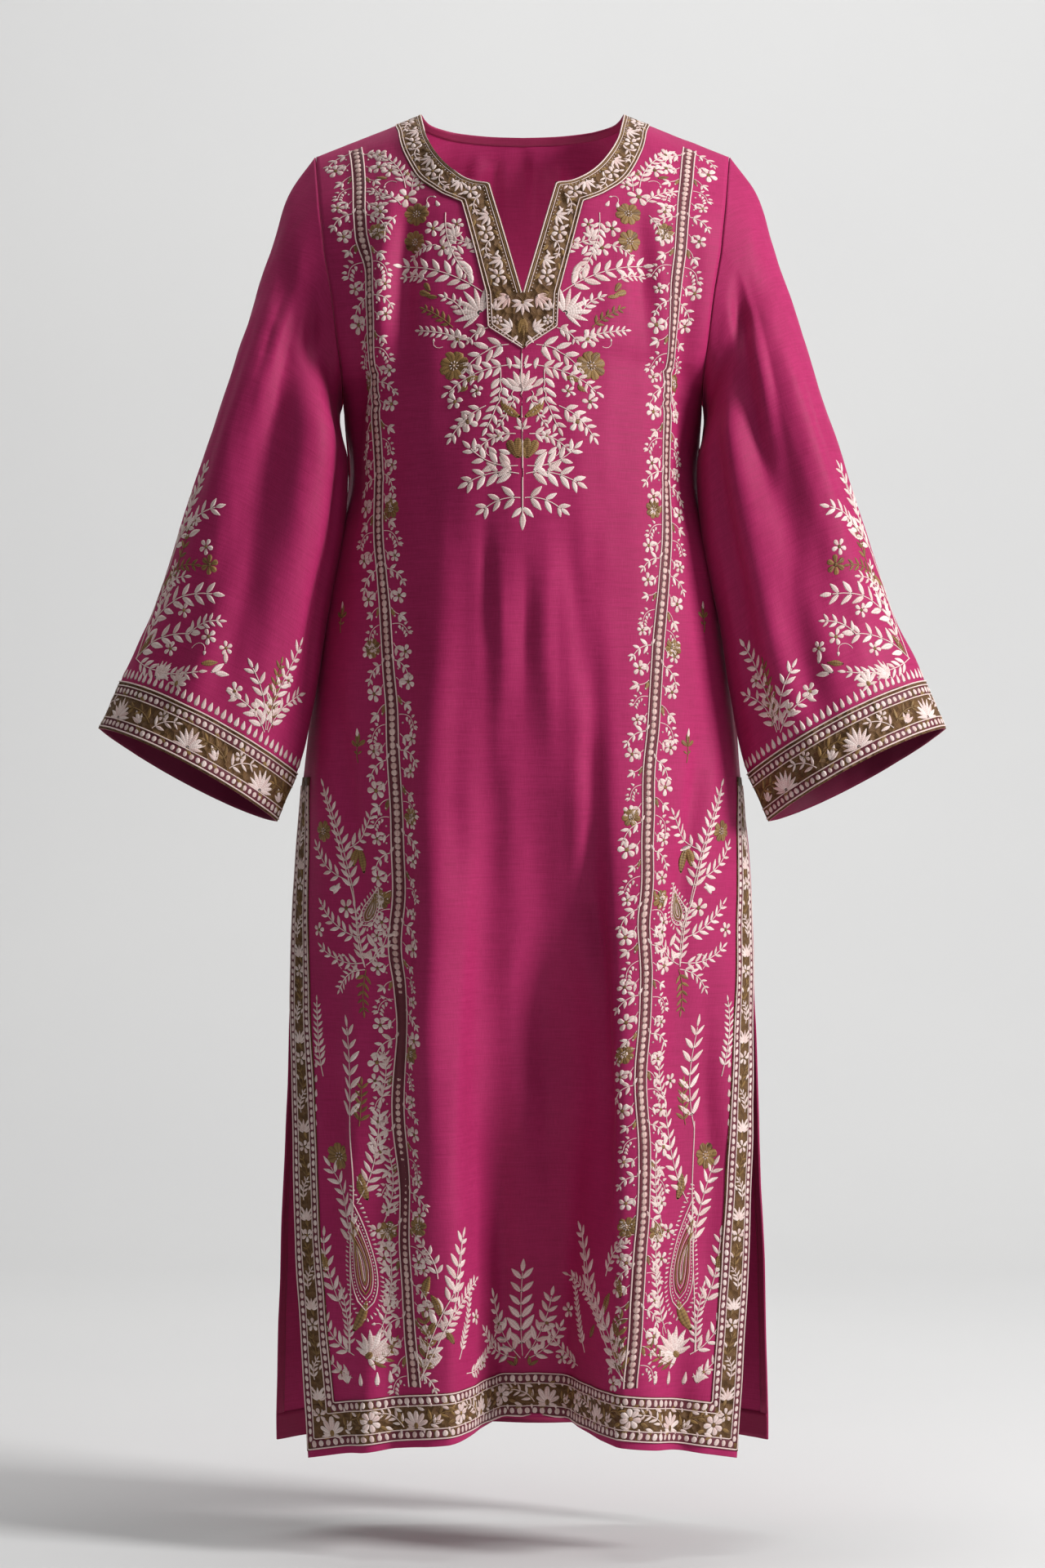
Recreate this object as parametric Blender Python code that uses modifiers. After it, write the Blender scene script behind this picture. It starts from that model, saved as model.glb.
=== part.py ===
"""Kurta tunic, holding the form of a wearer who isn't there.

Metres, +Z up. The front faces -Y. The origin is midway between the two points where the
shoulder seams meet the neck, level with them. Each panel is a grid of rows that run from
the middle of the garment out to its edge; Solidify gives the sheet its wall.
"""

import math
from collections import namedtuple

import bpy
from mathutils import Vector

# Walls and gaps
CLOTH = 0.0012        # wall of a panel
TRIM = 0.0010         # wall of a border, binding or turning
GAP = 0.0003          # air between neighbouring pieces
SEAM = 0.0009         # between the middles of two walls that meet edge to edge
SEAM_EASE = 0.25      # share of a wall by which a sleeve stands further off its armhole
LIFT = CLOTH / 2 + GAP + TRIM / 2     # from the middle of a panel to the middle of a trim

# Grid of a panel: cells from the neck border's edge to the edge band, and in the band
NECK_CELLS = 2
FRONT_CELLS, FRONT_BAND, FRONT_BAND_CELLS = 11, 0.030, 2      # the band is the slit border
BACK_CELLS, BACK_BAND, BACK_BAND_CELLS = 8, 0.008, 1          # the band is the slit turn-in

# Rows of a panel, shoulder to hem. "in" is on the neck edge or the middle line, "trim" on the
# lower edge of the neck border or binding, "out" on the armhole or side. The row bows from
# the crown, its depth at the middle, to the out point, turning through wrap degrees, and it
# drops to the out point by the sag power of the share of the way. A corner says which line
# isn't rounded there: the neck border's edges, or the armhole and side. Steps is the number
# of grid rows down to the next row.
Row = namedtuple("Row", "name in_x in_y in_z trim_x trim_z out_x out_y out_z crown wrap sag corner steps")

FRONT = [Row(*line) for line in (
    ("shoulder", .0910, .0000, .0000, .1135, -.0090, .1870, .0000, -.0380, .0000, 20, 1, "", 2),
    ("neck a", .0883, -.0300, -.0153, .1116, -.0209, .1850, -.0200, -.0560, -.0330, 35, 1, "", 1),
    ("neck b", .0836, -.0480, -.0309, .1062, -.0416, .1827, -.0360, -.0773, -.0510, 45, 1, "", 1),
    ("neck c", .0716, -.0660, -.0505, .0925, -.0673, .1812, -.0440, -.0915, -.0730, 49, 1, "", 1),
    ("neck d", .0570, -.0780, -.0645, .0760, -.0805, .1795, -.0500, -.1051, -.0855, 52, 1, "", 1),
    ("neck e", .0440, -.0840, -.0711, .0640, -.0870, .1780, -.0540, -.1180, -.0905, 55, 1, "", 1),
    ("notch corner", .0290, -.0880, -.0739, .0539, -.0914, .1765, -.0570, -.1320, -.0935, 57, 1, "neck", 1),
    ("notch side", .0145, -.1015, -.1244, .0431, -.1332, .1700, -.0620, -.1700, -.1055, 60, 1, "", 1),
    ("notch foot", .0000, -.1170, -.1750, .0323, -.1750, .1655, -.0600, -.2070, -.1170, 65, 1, "neck", 1),
    ("shield side", .0000, -.1185, -.1900, .0309, -.2050, .1625, -.0500, -.2320, -.1215, 70, 1, "neck", 1),
    ("shield point", .0000, -.1205, -.2050, .0000, -.2247, .1615, -.0300, -.2480, -.1235, 78, 1.5, "neck", 1),
    ("underarm", .0000, -.1285, -.2650, .0000, -.2650, .1620, -.0050, -.2650, -.1285, 88, 2, "side", 2),
    ("bust", .0000, -.1345, -.3400, .0000, -.3400, .1586, .0000, -.3400, -.1345, 90, 2, "", 1),
    ("ribs", .0000, -.1310, -.4000, .0000, -.4000, .1715, .0000, -.4000, -.1310, 90, 2, "", 1),
    ("waist", .0000, -.1280, -.4600, .0000, -.4600, .1820, .0000, -.4600, -.1280, 90, 2, "", 1),
    ("high hip", .0000, -.1260, -.5300, .0000, -.5300, .1905, .0000, -.5300, -.1260, 90, 2, "", 1),
    ("slit top", .0000, -.1250, -.6000, .0000, -.6000, .1980, -.0040, -.6000, -.1250, 88, 2, "", 1),
    ("hip", .0000, -.1245, -.6600, .0000, -.6600, .2025, -.0110, -.6600, -.1245, 82, 2, "", 1),
    ("skirt a", .0000, -.1240, -.7230, .0000, -.7230, .2058, -.0200, -.7250, -.1240, 76, 2, "", 1),
    ("skirt b", .0000, -.1230, -.7960, .0000, -.7960, .2068, -.0310, -.8000, -.1230, 70, 2, "", 1),
    ("skirt c", .0000, -.1220, -.8720, .0000, -.8720, .2058, -.0420, -.8800, -.1220, 65, 2, "", 2),
    ("skirt d", .0000, -.1210, -.9480, .0000, -.9480, .2042, -.0520, -.9600, -.1210, 60, 2, "", 2),
    ("skirt e", .0000, -.1195, -1.0230, .0000, -1.0230, .2007, -.0620, -1.0400, -.1195, 56, 2, "", 2),
    ("border top", .0000, -.1165, -1.1380, .0000, -1.1380, .1930, -.0750, -1.1575, -.1165, 52, 2, "", 2),
    ("border foot", .0000, -.1155, -1.1780, .0000, -1.1780, .1905, -.0795, -1.1975, -.1155, 50, 2, "", 1),
    ("hem", .0000, -.1150, -1.1840, .0000, -1.1840, .1900, -.0800, -1.2035, -.1150, 50, 2, "", 0),
)]

BACK = [Row(*line) for line in (
    ("shoulder", .0910, .0000, .0000, .0984, -.0030, .1870, .0000, -.0380, .0000, 20, 1, "", 2),
    ("neck a", .0885, .0220, -.0010, .0963, -.0032, .1860, .0180, -.0500, .0250, 25, 1, "", 1),
    ("neck b", .0825, .0450, -.0023, .0889, -.0059, .1840, .0360, -.0680, .0510, 38, 1, "", 1),
    ("neck c", .0700, .0630, -.0035, .0740, -.0091, .1820, .0470, -.0850, .0700, 45, 1, "", 1),
    ("neck d", .0560, .0715, -.0048, .0580, -.0116, .1800, .0540, -.1000, .0775, 49, 1, "", 1),
    ("neck e", .0300, .0770, -.0065, .0308, -.0141, .1780, .0580, -.1150, .0800, 52, 1, "", 1),
    ("neck middle", .0000, .0780, -.0072, .0000, -.0152, .1760, .0620, -.1300, .0800, 54, 1, "neck", 1),
    ("yoke", .0000, .0900, -.0500, .0000, -.0500, .1730, .0670, -.1550, .0900, 57, 1.25, "", 1),
    ("blades", .0000, .0990, -.1000, .0000, -.1000, .1695, .0690, -.1820, .0990, 60, 1.5, "", 1),
    ("blades foot", .0000, .1040, -.1550, .0000, -.1550, .1660, .0630, -.2120, .1040, 64, 1.75, "", 1),
    ("armhole foot", .0000, .1060, -.2100, .0000, -.2100, .1630, .0420, -.2430, .1060, 72, 2, "", 1),
    ("underarm", .0000, .1060, -.2650, .0000, -.2650, .1620, -.0050, -.2650, .1060, 88, 2, "side", 2),
    ("ribs", .0000, .0990, -.3400, .0000, -.3400, .1586, .0000, -.3400, .0990, 90, 2, "", 1),
    ("waist", .0000, .0920, -.4000, .0000, -.4000, .1715, .0000, -.4000, .0920, 90, 2, "", 1),
    ("high hip", .0000, .0920, -.4600, .0000, -.4600, .1820, .0000, -.4600, .0920, 90, 2, "", 1),
    ("hip", .0000, .1020, -.5300, .0000, -.5300, .1905, .0000, -.5300, .1020, 90, 2, "", 1),
    ("slit top", .0000, .1110, -.6000, .0000, -.6000, .1980, .0000, -.6000, .1110, 88, 2, "", 1),
    ("seat", .0000, .1145, -.6600, .0000, -.6600, .2045, .0020, -.6600, .1145, 84, 2, "", 1),
    ("skirt a", .0000, .1150, -.7250, .0000, -.7250, .2080, .0060, -.7250, .1150, 80, 2, "", 1),
    ("skirt b", .0000, .1140, -.8000, .0000, -.8000, .2112, .0100, -.8000, .1140, 76, 2, "", 1),
    ("skirt c", .0000, .1120, -.8800, .0000, -.8800, .2140, .0150, -.8800, .1120, 73, 2, "", 1),
    ("skirt d", .0000, .1100, -.9600, .0000, -.9600, .2175, .0190, -.9600, .1100, 70, 2, "", 1),
    ("skirt e", .0000, .1080, -1.0380, .0000, -1.0380, .2205, .0230, -1.0400, .1080, 68, 2, "", 2),
    ("turn-up top", .0000, .1035, -1.1760, .0000, -1.1760, .2246, .0290, -1.1814, .1035, 65, 2, "", 1),
    ("hem", .0000, .1020, -1.2000, .0000, -1.2000, .2248, .0300, -1.2054, .1020, 64, 2, "", 0),
)]

# Rings of a sleeve, armhole to cuff. A ring spans from its outer to its inner point, with a
# front and a back depth about mid_y. Lens above 1 sharpens the two ends, and tilt drops the
# back of the ring by that many degrees.
Ring = namedtuple("Ring", "name outer_x outer_z inner_x inner_z mid_y front back lens tilt steps")

SLEEVE = [Ring(*line) for line in (
    ("armhole", .1870, -.0380, .1620, -.2650, .0040, .062, .066, 1.0, 0, 1),
    ("cap a", .2090, -.0700, .1635, -.2720, .0000, .058, .063, 1.0, 0, 1),
    ("cap b", .2250, -.1170, .1640, -.2830, -.0040, .056, .060, 1.0, 0, 1),
    ("cap c", .2390, -.1650, .1615, -.2960, -.0190, .055, .058, 1.0, 0, 1),
    ("bicep", .2575, -.2280, .1560, -.3200, -.0350, .055, .056, 1.0, 0, 1),
    ("arm a", .2810, -.3020, .1600, -.3800, -.0410, .055, .055, 1.1, 0, 1),
    ("elbow", .3050, -.3760, .1735, -.4550, -.0420, .055, .054, 1.2, 0, 1),
    ("arm b", .3300, -.4500, .1850, -.5250, -.0405, .055, .054, 1.3, 4, 1),
    ("border top", .3540, -.5030, .1975, -.5830, -.0420, .055, .055, 1.4, 8, 2),
    ("cuff", .3780, -.5566, .2195, -.6390, -.0450, .055, .055, 1.5, 12, 0),
)]
CAP_FADE = 5.0        # rings over which the armhole's own shape gives way to the plain rings

# Folds of a panel. Each runs from its top to its foot in x and z, has its reach to either
# side with a level share in the middle, and pushes out (+) or in (-), most at its peak.
Fold = namedtuple("Fold", "name x_top z_top x_foot z_foot reach level push peak")

FRONT_FOLDS = [Fold(*line) for line in (
    ("middle valley", .016, -.60, .010, -1.19, .076, .40, -.090, 1.0),
    ("left ridge", -.060, -.36, -.076, -1.20, .040, .00, .006, 1.0),
    ("left trough", -.088, -.34, -.112, -1.16, .026, .00, -.009, 0.7),
    ("right ridge", .094, -.45, .100, -1.20, .046, .00, .012, 1.0),
    ("right hip trough", .140, -.50, .150, -1.14, .030, .00, -.007, 0.6),
    ("left hip ridge", -.150, -.56, -.152, -1.18, .030, .00, .007, 0.7),
)]

BACK_FOLDS = [Fold(*line) for line in (
    ("left flute", -.130, -.60, -.140, -1.20, .050, .00, .014, 1.0),
    ("middle flute", .020, -.52, .012, -1.20, .060, .00, -.018, 1.0),
    ("right flute", .120, -.64, .128, -1.20, .050, .00, .013, 1.0),
)]

# Folds of a sleeve: degrees round it (90 is the middle of the front) and ring numbers.
SleeveFold = namedtuple("SleeveFold", "side name turn_top ring_top turn_foot ring_foot reach push peak")

SLEEVE_FOLDS = [SleeveFold(*line) for line in (
    (-1, "elbow crease", 75, 2.5, 105, 7.5, 28, -.009, .5),
    (-1, "outer ridge", 40, 2.0, 50, 7.0, 24, .005, .5),
    (1, "long crease", 104, 2.5, 112, 8.0, 26, -.009, .5),
    (1, "outer ridge", 60, 2.0, 72, 7.0, 24, .005, .5),
    (-1, "back crease", 270, 3.0, 250, 7.0, 30, -.007, .5),
    (1, "back crease", 260, 3.0, 280, 7.0, 30, -.007, .5),
)]

# Colours (sRGB, 0 to 255), roughness and metallic value of each finish
FINISHES = {
    "cloth": ((178, 55, 106), 0.72, 0.0),
    "border": ((112, 84, 58), 0.55, 0.1),
    "binding": ((146, 42, 82), 0.70, 0.0),
}


def linear(channel):
    """An sRGB channel from 0 to 255 as scene-linear."""
    share = channel / 255.0
    return share / 12.92 if share <= 0.04045 else ((share + 0.055) / 1.055) ** 2.4


def finish(name, node):
    """A material of the node's own, from the named finish."""
    colour, roughness, metallic = FINISHES[name]
    material = bpy.data.materials.new(f"{node} {name}")
    material.use_nodes = True
    shader = material.node_tree.nodes["Principled BSDF"]
    shader.inputs["Base Color"].default_value = (*map(linear, colour), 1.0)
    shader.inputs["Roughness"].default_value = roughness
    shader.inputs["Metallic"].default_value = metallic
    return material


def smoothstep(share):
    share = min(max(share, 0.0), 1.0)
    return share * share * (3.0 - 2.0 * share)


def rise_and_fall(share, peak):
    """0 at both ends and 1 at the peak; a peak of 1 stays full to the end."""
    if not 0.0 < share <= 1.0:
        return 1.0 if share > 1.0 and peak >= 1.0 else 0.0
    if share <= peak:
        return smoothstep(share / peak)
    return smoothstep((1.0 - share) / (1.0 - peak))


def across(distance, reach, level):
    """1 over the level share of a fold's reach, easing to 0 at the reach."""
    share = abs(distance) / reach
    return 1.0 - smoothstep((share - level) / (1.0 - level))


# The table's rows as one smooth surface ------------------------------------------------

def between(entries, index, share, fields, distance, lines=None):
    """Values of the named fields at a share of the way from one entry to the next.

    A cubic runs through the entries, spaced by distance(a, b). Lines names the fields of each
    line that keeps a corner at the entries whose corner has its name.
    """
    here, there = entries[index], entries[index + 1]
    span = distance(here, there)
    before = entries[index - 1] if index else None
    after = entries[index + 2] if index + 2 < len(entries) else None
    values = {}
    for field in fields:
        low, high = getattr(here, field), getattr(there, field)
        start = end = (high - low) / span
        if before and not (lines and field in lines.get(here.corner, ())):
            start = (high - getattr(before, field)) / (span + distance(before, here))
        if after and not (lines and field in lines.get(there.corner, ())):
            end = (getattr(after, field) - low) / (span + distance(there, after))
        square, cube = share * share, share * share * share
        values[field] = (
            (2 * cube - 3 * square + 1) * low + (cube - 2 * square + share) * span * start
            + (3 * square - 2 * cube) * high + (cube - square) * span * end
        )
    return values


def row_distance(a, b):
    """How far apart two rows are, where they meet the armhole or the side."""
    return math.dist((a.out_x, a.out_y, a.out_z), (b.out_x, b.out_y, b.out_z))


def grid_rows(rows, other):
    """The table's rows with their steps between, and the index of each named row.

    The other panel's second row leads in, so that the shoulder is rounded over the seam.
    """
    entries = [other[1], *rows]
    fields = [field for field in Row._fields if field not in ("name", "corner", "steps")]
    lines = {"neck": ("in_x", "in_y", "in_z", "trim_x", "trim_z"), "side": ("out_x", "out_y", "out_z")}
    made, index = [], {}
    for number, row in enumerate(rows):
        index[row.name] = len(made)
        made.append(row)
        for step in range(1, row.steps):
            values = between(entries, number + 1, step / row.steps, fields, row_distance, lines)
            made.append(row._replace(**values))
    return made, index


def row_points(row, cells, band, band_cells):
    """Points along a row: the neck border's cells, the field's cells, then the edge band's."""
    top = math.radians(row.wrap)
    steepest = math.sin(top)

    def at(x, z):
        turn = math.asin(min(x / row.out_x * steepest, 1.0))
        bow = (math.cos(turn) - math.cos(top)) / (1.0 - math.cos(top))
        return Vector((x, row.out_y + (row.crown - row.out_y) * bow, z))

    trim = at(row.trim_x, row.trim_z)
    first = Vector((row.in_x, row.in_y, row.in_z))
    start = math.asin(row.trim_x / row.out_x * steepest)
    samples = 40
    curve, run = [], [0.0]
    for number in range(samples + 1):
        x = row.out_x * math.sin(start + (top - start) * number / samples) / steepest
        share = (x - row.trim_x) / (row.out_x - row.trim_x)
        curve.append(at(x, row.trim_z + (row.out_z - row.trim_z) * max(share, 0.0) ** row.sag))
        if number:
            run.append(run[-1] + (curve[-1] - curve[-2]).length)
    field = run[-1] - band
    stops = [field * number / cells for number in range(1, cells)]
    stops += [field + band * number / band_cells for number in range(band_cells)]
    points = [first.lerp(trim, number / NECK_CELLS) for number in range(NECK_CELLS)] + [trim]
    for stop in stops:
        spot = max(number for number in range(samples) if run[number] <= stop)
        share = (stop - run[spot]) / (run[spot + 1] - run[spot])
        points.append(curve[spot].lerp(curve[spot + 1], share))
    points.append(curve[-1])
    return points


# Sheets ---------------------------------------------------------------------------------

class Sheet:
    """An open grid of points with its faces, in which points that meet are one."""

    def __init__(self):
        self.points, self.number, self.spots, self.cells = [], {}, {}, {}

    def place(self, key, point):
        spot = tuple(round(value, 6) for value in point)
        if spot not in self.spots:
            self.spots[spot] = len(self.points)
            self.points.append(Vector(point))
        self.number[key] = self.spots[spot]

    def cell(self, name, keys, flip):
        """A face through the keys' points, left out where it has no area."""
        corners = list(dict.fromkeys(self.number[key] for key in keys))
        if len(corners) >= 3:
            self.cells[name] = corners[::-1] if flip else corners

    def normals(self):
        sums = [Vector((0.0, 0.0, 0.0)) for _ in self.points]
        for corners in self.cells.values():
            places = [self.points[corner] for corner in corners]
            facing = (places[2] - places[0]).cross(places[-1] - places[1])
            if len(places) == 3:
                facing = (places[1] - places[0]).cross(places[2] - places[0])
            for corner in corners:
                sums[corner] += facing
        return [total.normalized() for total in sums]

    def moved(self, amount):
        """The points moved along their own normals by amount(point)."""
        return [point + normal * amount(point)
                for point, normal in zip(self.points, self.normals())]


def panel(rows, cells, band, band_cells, facing):
    """Both halves of a panel; facing is +1 where the sheet faces +Y and -1 where it faces -Y."""
    sheet = Sheet()
    for side in (1, -1):
        for i, row in enumerate(rows):
            for j, point in enumerate(row_points(row, cells, band, band_cells)):
                sheet.place((side, i, j), (side * point.x, point.y, point.z))
        width = NECK_CELLS + cells + band_cells
        for i in range(len(rows) - 1):
            for j in range(width):
                corners = ((side, i, j), (side, i, j + 1), (side, i + 1, j + 1), (side, i + 1, j))
                sheet.cell((side, i, j), corners, side != facing)
    return sheet


def fold_push(folds, point):
    """How far the folds push a point of a panel along its normal."""
    total = 0.0
    for fold in folds:
        share = (fold.z_top - point.z) / (fold.z_top - fold.z_foot)
        middle = fold.x_top + (fold.x_foot - fold.x_top) * min(max(share, 0.0), 1.0)
        if share > 0.0 and abs(point.x - middle) < fold.reach:
            total += fold.push * rise_and_fall(share, fold.peak) * across(
                point.x - middle, fold.reach, fold.level)
    return total


def ring_distance(a, b):
    return math.dist(((a.outer_x + a.inner_x) / 2, (a.outer_z + a.inner_z) / 2),
                     ((b.outer_x + b.inner_x) / 2, (b.outer_z + b.inner_z) / 2))


def ring_point(ring, turn):
    """The point of a ring at a turn in radians: 0 outer, a quarter front, a half inner."""
    middle = Vector(((ring.outer_x + ring.inner_x) / 2, ring.mid_y, (ring.outer_z + ring.inner_z) / 2))
    reach = Vector((ring.outer_x, ring.mid_y, ring.outer_z)) - middle
    depth = Vector((0.0, 1.0, -math.tan(math.radians(ring.tilt))))
    size = ring.front if math.sin(turn) > 0.0 else ring.back
    swell = math.copysign(abs(math.sin(turn)) ** ring.lens, math.sin(turn))
    return middle + reach * math.cos(turn) - depth * (size * swell)


def arc_shares(points):
    """How far along the run of points each one is, from 0 to 1."""
    run = [0.0]
    for a, b in zip(points, points[1:]):
        run.append(run[-1] + (b - a).length)
    return [value / run[-1] for value in run]


def lean(heading, turn):
    """0 where the sleeve carries straight on from the panel, 1 where it doubles back."""
    away = (ring_point(SLEEVE[1], turn) - ring_point(SLEEVE[0], turn)).normalized()
    return math.sqrt(max(1.0 - away.dot(heading), 0.0) / 2.0)


def sleeve(side, armhole, heading):
    """The sleeve's sheet. Its first ring is the armhole moved off by the seam."""
    fields = [field for field in Ring._fields if field not in ("name", "steps")]
    rings, index = [], {}
    for number, ring in enumerate(SLEEVE):
        index[ring.name] = len(rings)
        rings.append((float(number), ring))
        for step in range(1, ring.steps):
            values = between(SLEEVE, number, step / ring.steps, fields, ring_distance)
            rings.append((number + step / ring.steps, ring._replace(**values)))
    half = len(armhole) // 2
    down, up = arc_shares(armhole[:half + 1]), arc_shares(armhole[half:] + armhole[:1])
    turns = [math.pi * share for share in down[:-1]] + [math.pi * (1 + share) for share in up[:-1]]
    sheet = Sheet()
    for i, (number, ring) in enumerate(rings):
        fade = 1.0 - smoothstep(number / CAP_FADE)
        for k, turn in enumerate(turns):
            outset = armhole[k] - ring_point(SLEEVE[0], turn)
            point = ring_point(ring, turn) + outset * fade
            point.x += GAP + CLOTH * (SEAM_EASE + lean(heading[k], turn))
            sheet.place((i, k), (side * point.x, point.y, point.z))
    for i in range(len(rings) - 1):
        for k in range(len(turns)):
            after = (k + 1) % len(turns)
            sheet.cell((i, k), ((i, k), (i, after), (i + 1, after), (i + 1, k)), side < 0)
    pushes = {}
    for i, (number, _) in enumerate(rings):
        for k, turn in enumerate(turns):
            pushes[sheet.number[(i, k)]] = sleeve_push(side, math.degrees(turn), number)
    normals = sheet.normals()
    sheet.points = [point + normals[spot] * pushes[spot] for spot, point in enumerate(sheet.points)]
    return sheet, index


def sleeve_push(side, turn, number):
    """How far the folds push a sleeve point out, at a turn in degrees and a ring number."""
    total = 0.0
    for fold in SLEEVE_FOLDS:
        share = (number - fold.ring_top) / (fold.ring_foot - fold.ring_top)
        if fold.side == side and 0.0 < share < 1.0:
            middle = fold.turn_top + (fold.turn_foot - fold.turn_top) * share
            if abs(turn - middle) < fold.reach:
                total += fold.push * rise_and_fall(share, fold.peak) * across(
                    turn - middle, fold.reach, 0.0)
    return total


# Objects --------------------------------------------------------------------------------

def solid(collection, name, points, faces, wall, finish_name):
    """A named object: the open sheet, with Solidify giving it an even wall about its middle."""
    used = sorted({corner for face in faces for corner in face})
    place = {corner: spot for spot, corner in enumerate(used)}
    mesh = bpy.data.meshes.new(name)
    mesh.from_pydata([points[corner] for corner in used], [],
                     [[place[corner] for corner in face] for face in faces])
    mesh.update()
    mesh.shade_smooth()
    mesh.materials.append(finish(finish_name, name))
    piece = bpy.data.objects.new(name, mesh)
    collection.objects.link(piece)
    thickness = piece.modifiers.new("Wall", "SOLIDIFY")
    thickness.thickness = wall
    thickness.offset = 0.0
    thickness.use_rim = True
    return piece


def trim(collection, name, sheet, wanted, lift, finish_name, shorten=None):
    """A strip on a sheet, from the sheet's own points moved out (or in, by a negative lift).

    shorten maps the keys along one end to the keys of the row before them, towards which
    that end is drawn back, so that the strip stops short of its neighbour.
    """
    points = sheet.moved(lambda point: lift)
    for end, before in (shorten or {}).items():
        a, b = sheet.number[end], sheet.number[before]
        points[a] = points[a] + (points[b] - points[a]).normalized() * (2 * GAP)
    faces = [corners for key, corners in sheet.cells.items() if wanted(*key)]
    return solid(collection, name, points, faces, TRIM, finish_name)


def main():
    for old in list(bpy.data.objects):
        bpy.data.objects.remove(old, do_unlink=True)
    collection = bpy.data.collections.new("Kurta tunic")
    bpy.context.scene.collection.children.link(collection)

    # Front and back panels, drawn apart by the seam at shoulders and sides
    front_rows, front_at = grid_rows(FRONT, BACK)
    back_rows, back_at = grid_rows(BACK, FRONT)
    front = panel(front_rows, FRONT_CELLS, FRONT_BAND, FRONT_BAND_CELLS, -1)
    back = panel(back_rows, BACK_CELLS, BACK_BAND, BACK_BAND_CELLS, 1)
    front_width = NECK_CELLS + FRONT_CELLS + FRONT_BAND_CELLS
    back_width = NECK_CELLS + BACK_CELLS + BACK_BAND_CELLS

    # The armhole as a loop from the shoulder down the front and up the back, and the way
    # each panel heads as it reaches it
    down = [(front, (1, i, front_width)) for i in range(front_at["underarm"] + 1)]
    up = [(back, (1, i, back_width)) for i in range(back_at["underarm"] - 1, 0, -1)]
    armhole, heading = [], []
    for sheet, (side, i, j) in down + up:
        edge = sheet.points[sheet.number[(side, i, j)]]
        inner = sheet.points[sheet.number[(side, i, j - 1)]]
        armhole.append(edge.copy())
        heading.append((edge - inner).normalized())

    for sheet, folds, way in ((front, FRONT_FOLDS, -1), (back, BACK_FOLDS, 1)):
        sheet.points = sheet.moved(lambda point: fold_push(folds, point))
        for point in sheet.points:
            point.y += way * SEAM / 2
    solid(collection, "front", front.points, list(front.cells.values()), CLOTH, "cloth")
    solid(collection, "back", back.points, list(back.cells.values()), CLOTH, "cloth")

    # Sleeves with the border round each cuff
    for side, word in ((1, "left"), (-1, "right")):
        sheet, index = sleeve(side, armhole, heading)
        solid(collection, f"sleeve_{word}", sheet.points, list(sheet.cells.values()), CLOTH, "cloth")
        cuff_top = index["border top"]
        trim(collection, f"cuff_border_{word}", sheet, lambda i, k: i >= cuff_top, LIFT, "border")

    # Border round the neck and the notch, ending in the shield below it
    shield = front_at["shield point"]
    trim(collection, "neck_border", front,
         lambda side, i, j: i < shield and j < NECK_CELLS, LIFT, "border")

    # Border across the hem, and one up each side slit that stops just above it
    hem_top, hem_foot, slit = front_at["border top"], front_at["border foot"], front_at["slit top"]
    band = front_width - FRONT_BAND_CELLS
    trim(collection, "hem_border", front, lambda side, i, j: hem_top <= i < hem_foot, LIFT, "border")
    for side, word in ((1, "left"), (-1, "right")):
        ends = {(side, hem_top, j): (side, hem_top - 1, j) for j in range(band, front_width + 1)}
        trim(collection, f"slit_border_{word}", front,
             lambda half, i, j, side=side: half == side and slit <= i < hem_top and j >= band,
             LIFT, "border", ends)

    # Inside the back: the neck binding, the hem's turn-up and the turn-in of each slit
    middle, turn_up, slit = back_at["neck middle"], back_at["turn-up top"], back_at["slit top"]
    band = back_width - BACK_BAND_CELLS
    trim(collection, "back_neck_binding", back,
         lambda side, i, j: i < middle and j < NECK_CELLS, -LIFT, "binding")
    trim(collection, "back_hem_turn_up", back, lambda side, i, j: i >= turn_up, -LIFT, "binding")
    for side, word in ((1, "left"), (-1, "right")):
        ends = {(side, turn_up, j): (side, turn_up - 1, j) for j in range(band, back_width + 1)}
        trim(collection, f"slit_turn_in_{word}", back,
             lambda half, i, j, side=side: half == side and slit <= i < turn_up and j >= band,
             -LIFT, "binding", ends)


main()
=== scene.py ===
# %% [markdown]
# # A kurta tunic
#
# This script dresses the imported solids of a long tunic: magenta cotton and linen with cream
# and olive embroidery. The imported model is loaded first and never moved. It says where
# everything goes, in metres, with +Z up and the front facing -Y. Each cell makes one thing
# and prints what it made.

import math
import random
from collections import namedtuple

import bpy
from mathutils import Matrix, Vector, noise
from mathutils.bvhtree import BVHTree
from mathutils.geometry import barycentric_transform


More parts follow.
